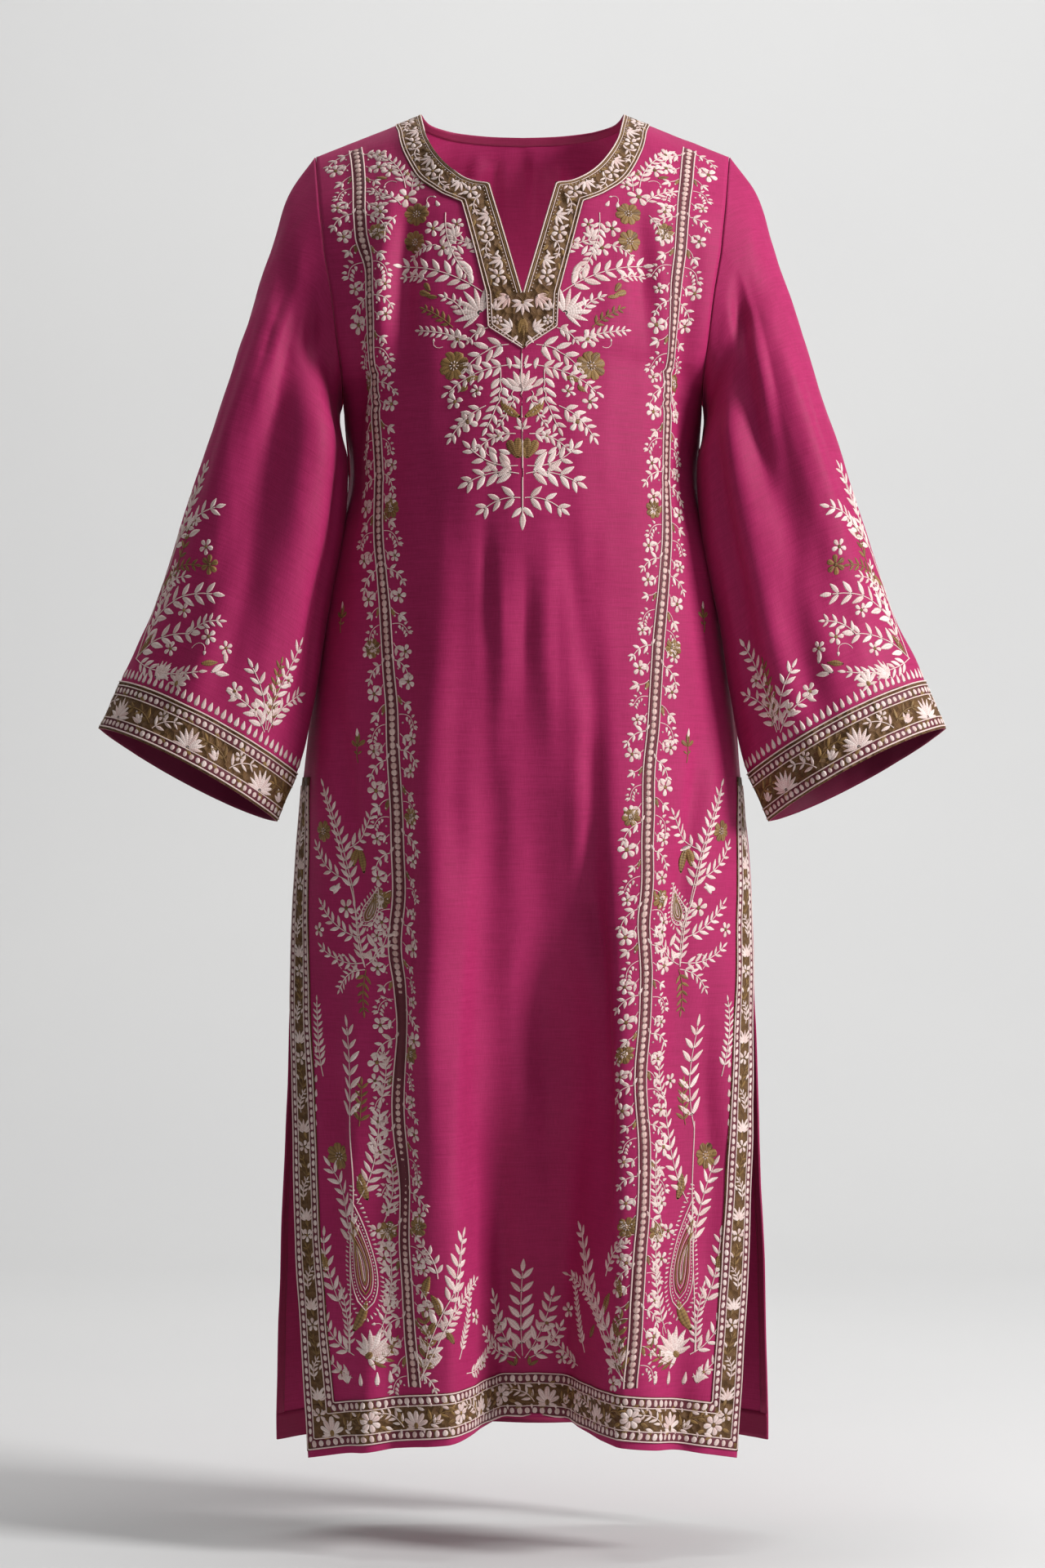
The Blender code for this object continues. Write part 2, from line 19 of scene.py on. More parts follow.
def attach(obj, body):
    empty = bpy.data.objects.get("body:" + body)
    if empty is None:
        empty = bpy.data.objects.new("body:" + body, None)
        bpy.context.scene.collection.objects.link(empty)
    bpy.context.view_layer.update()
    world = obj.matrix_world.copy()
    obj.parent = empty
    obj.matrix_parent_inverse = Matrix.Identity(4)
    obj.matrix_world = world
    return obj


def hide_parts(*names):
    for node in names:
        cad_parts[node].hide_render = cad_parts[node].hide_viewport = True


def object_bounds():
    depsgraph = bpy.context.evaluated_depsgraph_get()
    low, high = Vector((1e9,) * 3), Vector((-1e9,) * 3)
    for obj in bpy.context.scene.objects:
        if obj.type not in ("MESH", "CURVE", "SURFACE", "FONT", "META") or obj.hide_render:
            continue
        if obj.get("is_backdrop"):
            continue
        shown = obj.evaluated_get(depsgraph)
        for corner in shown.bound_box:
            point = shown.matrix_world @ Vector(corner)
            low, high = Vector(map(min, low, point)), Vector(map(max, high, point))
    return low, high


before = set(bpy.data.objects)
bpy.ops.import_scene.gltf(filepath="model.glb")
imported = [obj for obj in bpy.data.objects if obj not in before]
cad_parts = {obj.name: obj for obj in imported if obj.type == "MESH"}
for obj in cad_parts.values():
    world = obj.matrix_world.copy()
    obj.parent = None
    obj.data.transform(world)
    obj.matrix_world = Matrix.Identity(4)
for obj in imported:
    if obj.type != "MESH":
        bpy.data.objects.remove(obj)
cad_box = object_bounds()
MM = 0.001
print("solids:", len(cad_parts), "box:", [tuple(round(c, 3) for c in corner) for corner in cad_box])


def put(name, data):
    """An object that holds the data, in the scene."""
    made = bpy.data.objects.new(name, data)
    bpy.context.scene.collection.objects.link(made)
    return made


def mesh_of(name, points, faces, edges=()):
    mesh = bpy.data.meshes.new(name)
    mesh.from_pydata(points, edges, faces)
    return mesh

# %% [markdown]
# ## Camera, light and floor
#
# The tunic hangs in the air at its own height, seen straight from the front by a long lens,
# as in a shop's picture. A long lens far away keeps the hem and the shoulders at one scale.
# One big soft lamp to the right of the camera shapes the folds, a weaker one fills the left,
# and a wide one overhead gives the soft shadow on the floor. Softness comes from size: a
# large lamp has no hard edge to its shadow.

# %% Camera
EYE_HEIGHT = -0.606
EYE_DISTANCE = 3.6
LONG_SIDE = 1920 / 1350.0         # metres seen along the picture's long side, at the shoulders
SENSOR = 36.0

lens = bpy.data.cameras.new("Camera")
lens.sensor_width = SENSOR
lens.lens = SENSOR * EYE_DISTANCE / LONG_SIDE
camera = put("Camera", lens)
camera.location = (0.0, -EYE_DISTANCE, EYE_HEIGHT)
camera.rotation_euler = (math.radians(90), 0.0, 0.0)
bpy.context.scene.camera = camera
bpy.context.scene.view_settings.view_transform = "Standard"
print("lens:", round(lens.lens, 1), "mm")

# %% Lamps
Lamp = namedtuple("Lamp", "name x y z aim_x aim_y aim_z width height power")
LAMPS = [Lamp(*line) for line in (
    ("key", 3.0, -1.42, 0.90, 0.0, 0.0, -0.60, 0.8, 1.4, 142.0),
    ("fill", -2.6, -1.2, -0.2, 0.0, 0.0, -0.70, 1.0, 2.0, 0.5),
    ("overhead", 0.1, -0.2, 2.4, 0.05, 0.0, -1.0, 1.1, 1.1, 28.0),
    ("backdrop wash", 0.0, 1.1, 1.9, -0.3, 3.3, -0.4, 3.6, 1.2, 44.0),
    ("glow inside the body", 0.0, -0.03, -0.27, 0.0, 0.07, -0.08, 0.16, 0.10, 0.30),
)]
for lamp in LAMPS:
    light = bpy.data.lights.new(lamp.name, "AREA")
    light.shape = "RECTANGLE"
    light.size, light.size_y, light.energy = lamp.width, lamp.height, lamp.power
    holder = put(lamp.name, light)
    holder.location = (lamp.x, lamp.y, lamp.z)
    heading = Vector((lamp.aim_x, lamp.aim_y, lamp.aim_z)) - holder.location
    holder.rotation_euler = heading.to_track_quat("-Z", "Y").to_euler()

world = bpy.data.worlds.new("Studio")
world.use_nodes = True
background = world.node_tree.nodes["Background"]
background.inputs["Color"].default_value = (0.80, 0.80, 0.80, 1.0)
background.inputs["Strength"].default_value = 0.20
bpy.context.scene.world = world

# %% [markdown]
# ## Shader maths as expressions
#
# A material is a graph of nodes, and its maths reads better as a formula. `Value` wraps one
# socket, so that `1 - mask * 0.5` adds the Math nodes by itself. `Nodes.add` makes any other
# node from its type, its settings and the values or links of its sockets, `Nodes.feed` links
# or sets sockets, and both serve the geometry trees as well.

# %% Nodes by formula
class Value:
    """One output socket; its arithmetic adds Math nodes."""

    def __init__(self, nodes, socket):
        self.nodes, self.socket = nodes, socket

    def maths(self, operation, *others, clamp=False):
        settings = {"operation": operation, "use_clamp": clamp}
        return self.nodes.value("ShaderNodeMath", settings, [self, *others])

    def __add__(self, other):
        return self.maths("ADD", other)

    def __sub__(self, other):
        return self.maths("SUBTRACT", other)

    def __mul__(self, other):
        return self.maths("MULTIPLY", other)

    def __rsub__(self, other):
        return self.nodes.value("ShaderNodeMath", {"operation": "SUBTRACT"}, [other, self])

    __radd__ = __add__
    __rmul__ = __mul__

    def clamped(self):
        return self.maths("ADD", 0.0, clamp=True)


class Nodes:
    """A node tree, and the one way of adding to it."""

    def __init__(self, tree):
        self.tree = tree

    def feed(self, node, sockets):
        """Gives sockets, by name or number, a value, a Value or an output socket."""
        for name, given in sockets.items():
            if isinstance(given, Value):
                given = given.socket
            if isinstance(given, bpy.types.NodeSocket):
                self.tree.links.new(given, node.inputs[name])
            else:
                node.inputs[name].default_value = given

    def add(self, kind, settings=None, sockets=()):
        node = self.tree.nodes.new(kind)
        for name, setting in (settings or {}).items():
            setattr(node, name, setting)
        self.feed(node, sockets if isinstance(sockets, dict) else dict(enumerate(sockets)))
        return node

    def value(self, kind, settings=None, sockets=(), output=0):
        return Value(self, self.add(kind, settings, sockets).outputs[output])


def linear(red, green, blue):
    """An sRGB colour, 0 to 255, as the scene-linear colour that a socket takes."""
    def channel(value):
        share = value / 255.0
        return share / 12.92 if share <= 0.04045 else ((share + 0.055) / 1.055) ** 2.4
    return (channel(red), channel(green), channel(blue), 1.0)


def new_material(name, roughness, sheen=0.0, sheen_tint=(255, 255, 255), specular=0.5):
    """A material, its Nodes and its Principled node, with the constants set on its sockets."""
    material = bpy.data.materials.new(name)
    material.use_nodes = True
    nodes = Nodes(material.node_tree)
    shader = material.node_tree.nodes["Principled BSDF"]
    nodes.feed(shader, {"Roughness": roughness, "Sheen Weight": sheen, "Sheen Roughness": 0.35,
                        "Sheen Tint": linear(*sheen_tint), "Specular IOR Level": specular})
    return material, nodes, shader


def mix_colours(nodes, factor, first, second):
    """Two colours or colour outputs mixed by a factor from 0 to 1."""
    return nodes.add("ShaderNodeMix", {"data_type": "RGBA"},
                     {0: factor, 6: first, 7: second}).outputs[2]


def stretched_noise(nodes, along, scale, detail=3.0):
    """Noise on a vector that is stretched by three factors, from 0 to 1."""
    mapping = nodes.add("ShaderNodeMapping", None, {"Vector": along, "Scale": scale})
    return nodes.value("ShaderNodeTexNoise", None,
                       {"Vector": mapping.outputs[0], "Scale": 1.0, "Detail": detail})

# %% Floor
FLOOR = cad_box[0].z - 0.085
FLOOR_SIDE, FLOOR_NEAR, FLOOR_FAR, FLOOR_BEND, WALL_TOP = 6.0, -4.5, 3.4, 1.4, 5.0


def sweep_floor():
    """A floor that curves up into the wall behind, so that no corner shows."""
    flat_end = FLOOR_FAR - FLOOR_BEND
    profile = [(FLOOR_NEAR, FLOOR), (flat_end, FLOOR)]
    for degrees in range(6, 91, 6):
        turn = math.radians(degrees)
        profile.append((flat_end + FLOOR_BEND * math.sin(turn), FLOOR + FLOOR_BEND * (1 - math.cos(turn))))
    profile.append((FLOOR_FAR, FLOOR + WALL_TOP))
    points = [(side * FLOOR_SIDE, y, z) for y, z in profile for side in (-1, 1)]
    faces = [(2 * n, 2 * n + 1, 2 * n + 3, 2 * n + 2) for n in range(len(profile) - 1)]
    mesh = mesh_of("floor", points, faces)
    mesh.shade_smooth()
    floor = put("floor", mesh)
    material, nodes, shader = new_material("backdrop paper", 0.85, specular=0.2)
    place = nodes.add("ShaderNodeTexCoord").outputs["Object"]
    grain = stretched_noise(nodes, place, (1.5, 1.5, 1.5))
    tone = mix_colours(nodes, grain, linear(222, 222, 221), linear(216, 216, 216))
    nodes.feed(shader, {"Base Color": tone})
    # The sweep is clear from behind, so that the garment's back can be looked at
    behind = nodes.add("ShaderNodeNewGeometry").outputs["Backfacing"]
    clear = nodes.add("ShaderNodeBsdfTransparent").outputs["BSDF"]
    one_sided = nodes.add("ShaderNodeMixShader", None, {0: behind, 1: shader.outputs["BSDF"], 2: clear})
    nodes.feed(nodes.tree.nodes["Material Output"], {"Surface": one_sided.outputs[0]})
    mesh.materials.append(material)
    floor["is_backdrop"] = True


sweep_floor()
print("floor at", round(FLOOR, 3))

# %% [markdown]
# ## The cut of the panels
#
# The front and the back are each one piece of cloth. A panel is described by rows that run
# from its middle to its edge: the neck edge, the border's edge and the side seam are given
# for each row, and smooth curves run between the rows. The solids use the same tables with
# few rows. Here each step is divided finely, so the cloth lies exactly on its solid, and the
# folds and creases can be added afterwards.

# %% Rows of the panels
Row = namedtuple("Row", "name in_x in_y in_z trim_x trim_z out_x out_y out_z crown wrap sag corner steps")


def below_neck(name, middle_y, middle_z, out_x, out_y, out_z, wrap, steps, sag=2, corner=""):
    """A row that starts on the middle line."""
    return Row(name, 0.0, middle_y, middle_z, 0.0, middle_z, out_x, out_y, out_z, middle_y, wrap,
               sag, corner, steps)


FRONT = [Row(*line) for line in (
    ("shoulder", .0910, .0000, .0000, .1135, -.0090, .1870, .0000, -.0380, .0000, 20, 1, "", 2),
    ("neck a", .0883, -.0300, -.0153, .1116, -.0209, .1850, -.0200, -.0560, -.0330, 35, 1, "", 1),
    ("neck b", .0836, -.0480, -.0309, .1062, -.0416, .1827, -.0360, -.0773, -.0510, 45, 1, "", 1),
    ("neck c", .0716, -.0660, -.0505, .0925, -.0673, .1812, -.0440, -.0915, -.0730, 49, 1, "", 1),
    ("neck d", .0570, -.0780, -.0645, .0760, -.0805, .1795, -.0500, -.1051, -.0855, 52, 1, "", 1),
    ("neck e", .0440, -.0840, -.0711, .0640, -.0870, .1780, -.0540, -.1180, -.0905, 55, 1, "", 1),
    ("notch corner", .0290, -.0880, -.0739, .0539, -.0914, .1765, -.0570, -.1320, -.0935, 57, 1, "neck", 1),
    ("notch side", .0145, -.1015, -.1244, .0431, -.1332, .1700, -.0620, -.1700, -.1055, 60, 1, "", 1),
    ("notch foot", .0000, -.1170, -.1750, .0323, -.1750, .1655, -.0600, -.2070, -.1170, 65, 1, "neck", 1),
    ("shield side", .0000, -.1185, -.1900, .0309, -.2050, .1625, -.0500, -.2320, -.1215, 70, 1, "neck", 1),
    ("shield point", .0000, -.1205, -.2050, .0000, -.2247, .1615, -.0300, -.2480, -.1235, 78, 1.5, "neck", 1),
)] + [below_neck(*line) for line in (
    ("underarm", -.1285, -.2650, .1620, -.0050, -.2650, 88, 2, 2, "side"),
    ("bust", -.1345, -.3400, .1586, .0000, -.3400, 90, 1),
    ("ribs", -.1310, -.4000, .1715, .0000, -.4000, 90, 1),
    ("waist", -.1280, -.4600, .1820, .0000, -.4600, 90, 1),
    ("high hip", -.1260, -.5300, .1905, .0000, -.5300, 90, 1),
    ("slit top", -.1250, -.6000, .1980, -.0040, -.6000, 88, 1),
    ("hip", -.1245, -.6600, .2025, -.0110, -.6600, 82, 1),
    ("skirt a", -.1240, -.7230, .2058, -.0200, -.7250, 76, 1),
    ("skirt b", -.1230, -.7960, .2068, -.0310, -.8000, 70, 1),
    ("skirt c", -.1220, -.8720, .2058, -.0420, -.8800, 65, 2),
    ("skirt d", -.1210, -.9480, .2042, -.0520, -.9600, 60, 2),
    ("skirt e", -.1195, -1.0230, .2007, -.0620, -1.0400, 56, 2),
    ("border top", -.1165, -1.1380, .1930, -.0750, -1.1575, 52, 2),
    ("border foot", -.1155, -1.1780, .1905, -.0795, -1.1975, 50, 1),
    ("hem", -.1150, -1.1840, .1900, -.0800, -1.2035, 50, 0),
)]

BACK = [Row(*line) for line in (
    ("shoulder", .0910, .0000, .0000, .0984, -.0030, .1870, .0000, -.0380, .0000, 20, 1, "", 2),
    ("neck a", .0885, .0220, -.0010, .0963, -.0032, .1860, .0180, -.0500, .0250, 25, 1, "", 1),
    ("neck b", .0825, .0450, -.0023, .0889, -.0059, .1840, .0360, -.0680, .0510, 38, 1, "", 1),
    ("neck c", .0700, .0630, -.0035, .0740, -.0091, .1820, .0470, -.0850, .0700, 45, 1, "", 1),
    ("neck d", .0560, .0715, -.0048, .0580, -.0116, .1800, .0540, -.1000, .0775, 49, 1, "", 1),
    ("neck e", .0300, .0770, -.0065, .0308, -.0141, .1780, .0580, -.1150, .0800, 52, 1, "", 1),
    ("neck middle", .0000, .0780, -.0072, .0000, -.0152, .1760, .0620, -.1300, .0800, 54, 1, "neck", 1),
)] + [below_neck(*line) for line in (
    ("yoke", .0900, -.0500, .1730, .0670, -.1550, 57, 1, 1.25),
    ("blades", .0990, -.1000, .1695, .0690, -.1820, 60, 1, 1.5),
    ("blades foot", .1040, -.1550, .1660, .0630, -.2120, 64, 1, 1.75),
    ("armhole foot", .1060, -.2100, .1630, .0420, -.2430, 72, 1),
    ("underarm", .1060, -.2650, .1620, -.0050, -.2650, 88, 2, 2, "side"),
    ("ribs", .0990, -.3400, .1586, .0000, -.3400, 90, 1),
    ("waist", .0920, -.4000, .1715, .0000, -.4000, 90, 1),
    ("high hip", .0920, -.4600, .1820, .0000, -.4600, 90, 1),
    ("hip", .1020, -.5300, .1905, .0000, -.5300, 90, 1),
    ("slit top", .1110, -.6000, .1980, .0000, -.6000, 88, 1),
    ("seat", .1145, -.6600, .2045, .0020, -.6600, 84, 1),
    ("skirt a", .1150, -.7250, .2080, .0060, -.7250, 80, 1),
    ("skirt b", .1140, -.8000, .2112, .0100, -.8000, 76, 1),
    ("skirt c", .1120, -.8800, .2140, .0150, -.8800, 73, 1),
    ("skirt d", .1100, -.9600, .2175, .0190, -.9600, 70, 1),
    ("skirt e", .1080, -1.0380, .2205, .0230, -1.0400, 68, 2),
    ("turn-up top", .1035, -1.1760, .2246, .0290, -1.1814, 65, 1),
    ("hem", .1020, -1.2000, .2248, .0300, -1.2054, 64, 0),
)]

# %% Smooth curves through the rows
def smoothstep(share):
    share = min(max(share, 0.0), 1.0)
    return share * share * (3.0 - 2.0 * share)


def between(entries, index, share, fields, distance, lines=None):
    """Values of the fields at a share of the way from one entry to the next, on a cubic.

    Lines names the fields of each line that keeps a corner at the entries so marked.
    """
    here, there = entries[index], entries[index + 1]
    span = distance(here, there)
    before = entries[index - 1] if index else None
    after = entries[index + 2] if index + 2 < len(entries) else None
    values = {}
    for field in fields:
        low, high = getattr(here, field), getattr(there, field)
        start = end = (high - low) / span
        if before and not (lines and field in lines.get(here.corner, ())):
            start = (high - getattr(before, field)) / (span + distance(before, here))
        if after and not (lines and field in lines.get(there.corner, ())):
            end = (getattr(after, field) - low) / (span + distance(there, after))
        square, cube = share * share, share * share * share
        values[field] = (
            (2 * cube - 3 * square + 1) * low + (cube - 2 * square + share) * span * start
            + (3 * square - 2 * cube) * high + (cube - square) * span * end
        )
    return values


CORNER_LINES = {"neck": ("in_x", "in_y", "in_z", "trim_x", "trim_z"), "side": ("out_x", "out_y", "out_z")}


def row_distance(a, b):
    """How far apart two rows are, where they meet the armhole or the side."""
    return math.dist((a.out_x, a.out_y, a.out_z), (b.out_x, b.out_y, b.out_z))


def finely(table, finer, distance, before=None, lines=None):
    """The table's entries with finer steps between, each with its number, and where each named one is."""
    entries = [before, *table] if before else table
    shift = len(entries) - len(table)
    fields = [field for field in table[0]._fields if field not in ("name", "corner", "steps")]
    made, at = [], {}
    for number, entry in enumerate(table):
        at[entry.name] = len(made)
        made.append((float(number), entry))
        steps = entry.steps * finer
        for step in range(1, steps):
            values = between(entries, number + shift, step / steps, fields, distance, lines)
            made.append((number + step / steps, entry._replace(**values)))
    return made, at


def row_points(row, neck_cells, cells, band, band_cells):
    """Points along a row: the neck border's cells, the field's, then those of the edge band."""
    top = math.radians(row.wrap)
    steepest = math.sin(top)

    def at(x, z):
        turn = math.asin(min(x / row.out_x * steepest, 1.0))
        bow = (math.cos(turn) - math.cos(top)) / (1.0 - math.cos(top))
        return Vector((x, row.out_y + (row.crown - row.out_y) * bow, z))

    trim = at(row.trim_x, row.trim_z)
    first = Vector((row.in_x, row.in_y, row.in_z))
    start = math.asin(row.trim_x / row.out_x * steepest)
    samples = 80
    curve, run = [], [0.0]
    for number in range(samples + 1):
        x = row.out_x * math.sin(start + (top - start) * number / samples) / steepest
        share = (x - row.trim_x) / (row.out_x - row.trim_x)
        curve.append(at(x, row.trim_z + (row.out_z - row.trim_z) * max(share, 0.0) ** row.sag))
        if number:
            run.append(run[-1] + (curve[-1] - curve[-2]).length)
    field = run[-1] - band
    stops = [field * number / cells for number in range(1, cells)]
    stops += [field + band * number / band_cells for number in range(band_cells)]
    if row.trim_x < 1e-6 and abs(row.in_z - row.trim_z) < 1e-6:
        first = trim
    points = [trim if first is trim else first.lerp(trim, number / neck_cells)
              for number in range(neck_cells)] + [trim]
    spot = 0
    for stop in stops:
        while spot < samples - 1 and run[spot + 1] <= stop:
            spot += 1
        share = (stop - run[spot]) / (run[spot + 1] - run[spot])
        points.append(curve[spot].lerp(curve[spot + 1], share))
    points.append(curve[-1])
    return points

# %% [markdown]
# ## Cloth that remembers its flat pattern
#
# Embroidery is worked on flat cloth before the garment is sewn. So each cloth keeps two
# places for every point: where it is in the air, and where it was on the flat pattern, in
# metres. The flat place becomes the UV map. Along a row the flat distance is the length in
# plan, and down the neck edge and the middle line it is the length on the cloth.

# %% Sheets of cloth
class Sheet:
    """An open grid of points with its faces and their places on the flat pattern."""

    def __init__(self):
        self.points, self.number, self.spots = [], {}, {}
        self.cells, self.flats = {}, {}

    def place(self, key, point):
        spot = tuple(round(value, 6) for value in point)
        if spot not in self.spots:
            self.spots[spot] = len(self.points)
            self.points.append(Vector(point))
        self.number[key] = self.spots[spot]

    def cell(self, name, keys, flip):
        """A face through the keys' points, left out where it has no area."""
        corners = list(dict.fromkeys(self.number[key] for key in keys))
        if len(corners) >= 3:
            self.cells[name] = corners[::-1] if flip else corners

    def normals(self):
        sums = [Vector((0.0, 0.0, 0.0)) for _ in self.points]
        for corners in self.cells.values():
            places = [self.points[corner] for corner in corners]
            facing = (places[2] - places[0]).cross(places[-1] - places[1])
            if len(places) == 3:
                facing = (places[1] - places[0]).cross(places[2] - places[0])
            for corner in corners:
                sums[corner] += facing
        return [total.normalized() for total in sums]

    def push(self, amount):
        """Moves the points along their normals by amount(point)."""
        self.points = [point + normal * amount(point) for point, normal in zip(self.points, self.normals())]

    def settle(self):
        """Makes the search tree that finds the cloth under a spot seen from the front."""
        self.triangles, self.corners = [], []
        for name, corners in self.cells.items():
            flat = self.flats[name]
            for n in range(1, len(corners) - 1):
                self.triangles.append((corners[0], corners[n], corners[n + 1]))
                self.corners.append((flat[0], flat[n], flat[n + 1]))
        self.tree = BVHTree.FromPolygons(self.points, self.triangles)

    def lay(self, x, z):
        """The flat place, in millimetres, of the cloth seen from the front at x and z in mm."""
        hit, _, face, _ = self.tree.ray_cast(Vector((x * MM, -2.0, z * MM)), Vector((0, 1, 0)))
        if hit is None:
            raise ValueError(f"no cloth at {x}, {z}")
        places = [self.points[corner] for corner in self.triangles[face]]
        flats = [Vector((u, v, 0.0)) for u, v in self.corners[face]]
        spot = barycentric_transform(hit, *places, *flats)
        return spot.x / MM, spot.y / MM


def panel(rows, neck_cells, cells, band, band_cells, facing):
    """Both halves of a panel; facing is +1 where it faces +Y and -1 where it faces -Y."""
    sheet = Sheet()
    sheet.width = neck_cells + cells + band_cells
    sheet.rows = len(rows)
    for side in (1, -1):
        for i, (_, row) in enumerate(rows):
            for j, point in enumerate(row_points(row, neck_cells, cells, band, band_cells)):
                sheet.place((side, i, j), (side * point.x, point.y, point.z))
        for i in range(len(rows) - 1):
            for j in range(sheet.width):
                corners = ((side, i, j), (side, i, j + 1), (side, i + 1, j + 1), (side, i + 1, j))
                sheet.cell((side, i, j), corners, side != facing)
    return sheet


def flatten_panel(sheet):
    """Works out the flat place of every point, and of each face's corners."""
    sheet.flat = {}
    for side in (1, -1):
        down, before = 0.0, None
        for i in range(sheet.rows):
            start = sheet.points[sheet.number[(side, i, 0)]]
            if before is not None:
                down += math.hypot(start.y - before.y, start.z - before.z)
            across, last = abs(start.x), start
            for j in range(sheet.width + 1):
                point = sheet.points[sheet.number[(side, i, j)]]
                across += math.hypot(point.x - last.x, point.y - last.y)
                sheet.flat[(side, i, j)] = (side * across, point.z - start.z - down)
                last = point
            before = start
    by_point = {sheet.number[key]: flat for key, flat in sheet.flat.items()}
    for name, corners in sheet.cells.items():
        sheet.flats[name] = [by_point[corner] for corner in corners]

# %% [markdown]
# ## Folds
#
# Worn cloth is never smooth: it hangs in long soft ridges and troughs that start where it is
# held and die out before they end. Every fold here is listed in a short table: where
# it starts and ends, how far it reaches to each side, and how far it pushes the cloth out or
# in. A slow wander and a slow change of strength keep the folds uneven. A simulation could
# find folds too, but not these ones.

# %% Folds of the panels
Fold = namedtuple("Fold", "name x_top z_top x_foot z_foot reach level push peak")

FRONT_FOLDS = [Fold(*line) for line in (
    ("middle valley", .016, -.60, .010, -1.19, .076, .40, -.090, 1.0),
    ("left ridge", -.060, -.36, -.076, -1.20, .040, .00, .006, 1.0),
    ("left trough", -.088, -.34, -.112, -1.16, .026, .00, -.009, 0.7),
    ("right ridge", .094, -.45, .100, -1.20, .046, .00, .012, 1.0),
    ("right hip trough", .140, -.50, .150, -1.14, .030, .00, -.007, 0.6),
    ("left hip ridge", -.150, -.56, -.152, -1.18, .030, .00, .007, 0.7),
)]

BACK_FOLDS = [Fold(*line) for line in (
    ("left flute", -.130, -.60, -.140, -1.20, .050, .00, .014, 1.0),
    ("middle flute", .020, -.52, .012, -1.20, .060, .00, -.018, 1.0),
    ("right flute", .120, -.64, .128, -1.20, .050, .00, .013, 1.0),
)]

# Creases that the solids are too coarse for
FRONT_CREASES = [Fold(*line) for line in (
    ("chest trough left", -.099, -.062, -.108, -.270, .017, .00, -.0042, .4),
    ("chest ridge left", -.118, -.060, -.124, -.300, .018, .00, .0036, .4),
    ("chest trough right", .103, -.070, .110, -.240, .016, .00, -.0026, .5),
    ("shoulder drop left", -.150, -.080, -.146, -.420, .016, .00, -.0030, .5),
    ("shoulder drop right", .152, -.090, .146, -.380, .018, .00, -.0034, .4),
    ("tip crease a", -.034, -.360, -.030, -.560, .011, .00, -.0014, .3),
    ("tip crease b", -.018, -.385, -.021, -.640, .010, .00, .0012, .3),
    ("tip crease c", .004, -.392, .003, -.600, .010, .00, -.0013, .3),
    ("tip crease d", .022, -.380, .026, -.660, .012, .00, .0013, .3),
    ("tip crease e", .044, -.360, .050, -.590, .012, .00, -.0014, .3),
    ("middle hollow", -.004, -.370, .010, -1.120, .085, .00, -.0080, .5),
    ("middle lean", .030, -.560, .040, -1.100, .046, .10, -.0060, .5),
    ("right long trough", .058, -.340, .072, -1.150, .017, .00, -.0066, .5),
    ("right soft ridge", .056, -.480, .058, -.900, .016, .00, .0022, .5),
    ("left bright ridge", -.078, -.300, -.084, -1.120, .026, .05, .0052, .5),
    ("left inner trough", -.028, -.400, -.036, -1.120, .022, .00, -.0034, .6),
    ("hip fan left", -.172, -.480, -.134, -.760, .014, .00, -.0026, .5),
    ("hip fan right", .168, -.500, .128, -.800, .015, .00, -.0028, .5),
    ("side trough left", -.162, -.640, -.166, -1.120, .016, .00, -.0032, .6),
    ("side trough right", .170, -.660, .164, -1.120, .018, .00, -.0034, .6),
    ("hem ripple left", -.130, -.980, -.134, -1.19, .022, .00, .0040, 1.0),
    ("hem ripple right", .132, -.960, .138, -1.19, .024, .00, -.0038, 1.0),
)]

BACK_CREASES = [Fold(*line) for line in (
    ("neck pucker a", -.041, -.016, -.043, -.100, .008, .00, -.0020, .2),
    ("neck pucker b", -.025, -.016, -.024, -.140, .008, .00, .0022, .2),
    ("neck pucker c", .010, -.016, .009, -.120, .008, .00, -.0022, .2),
    ("neck pucker d", .031, -.016, .033, -.150, .009, .00, .0020, .2),
    ("blade trough left", -.090, -.080, -.100, -.420, .030, .00, -.0050, .5),
    ("blade trough right", .094, -.090, .098, -.460, .030, .00, -.0046, .5),
    ("small of the back", .006, -.260, .002, -.620, .040, .00, -.0050, .5),
    ("seat crease left", -.060, -.560, -.070, -1.180, .024, .00, .0050, .7),
    ("seat crease right", .072, -.540, .080, -1.180, .026, .00, -.0050, .7),
    ("side crease left", -.178, -.600, -.184, -1.190, .022, .00, -.0045, .7),
    ("side crease right", .172, -.620, .182, -1.190, .024, .00, .0045, .7),
)]


def rise_and_fall(share, peak):
    """0 at both ends and 1 at the peak; a peak of 1 stays full to the end."""
    if not 0.0 < share <= 1.0:
        return 1.0 if share > 1.0 and peak >= 1.0 else 0.0
    if share <= peak:
        return smoothstep(share / peak)
    return smoothstep((1.0 - share) / (1.0 - peak))


def across(distance, reach, level):
    """1 over the level share of a fold's reach, easing to 0 at the reach."""
    share = abs(distance) / reach
    return 1.0 - smoothstep((share - level) / (1.0 - level))


def fold_push(folds, point, wander=0.0):
    """How far the folds push a point of a panel along its normal."""
    total = 0.0
    for number, fold in enumerate(folds):
        share = (fold.z_top - point.z) / (fold.z_top - fold.z_foot)
        middle = fold.x_top + (fold.x_foot - fold.x_top) * min(max(share, 0.0), 1.0)
        middle += wander * noise.noise((number * 7.3, point.z * 9.0, 0.0))
        if share > 0.0 and abs(point.x - middle) < fold.reach:
            strength = 1.0 + (0.5 if wander else 0.0) * noise.noise((number * 3.1, point.z * 14.0, 5.0))
            total += fold.push * strength * rise_and_fall(share, fold.peak) * across(
                point.x - middle, fold.reach, fold.level)
    return total


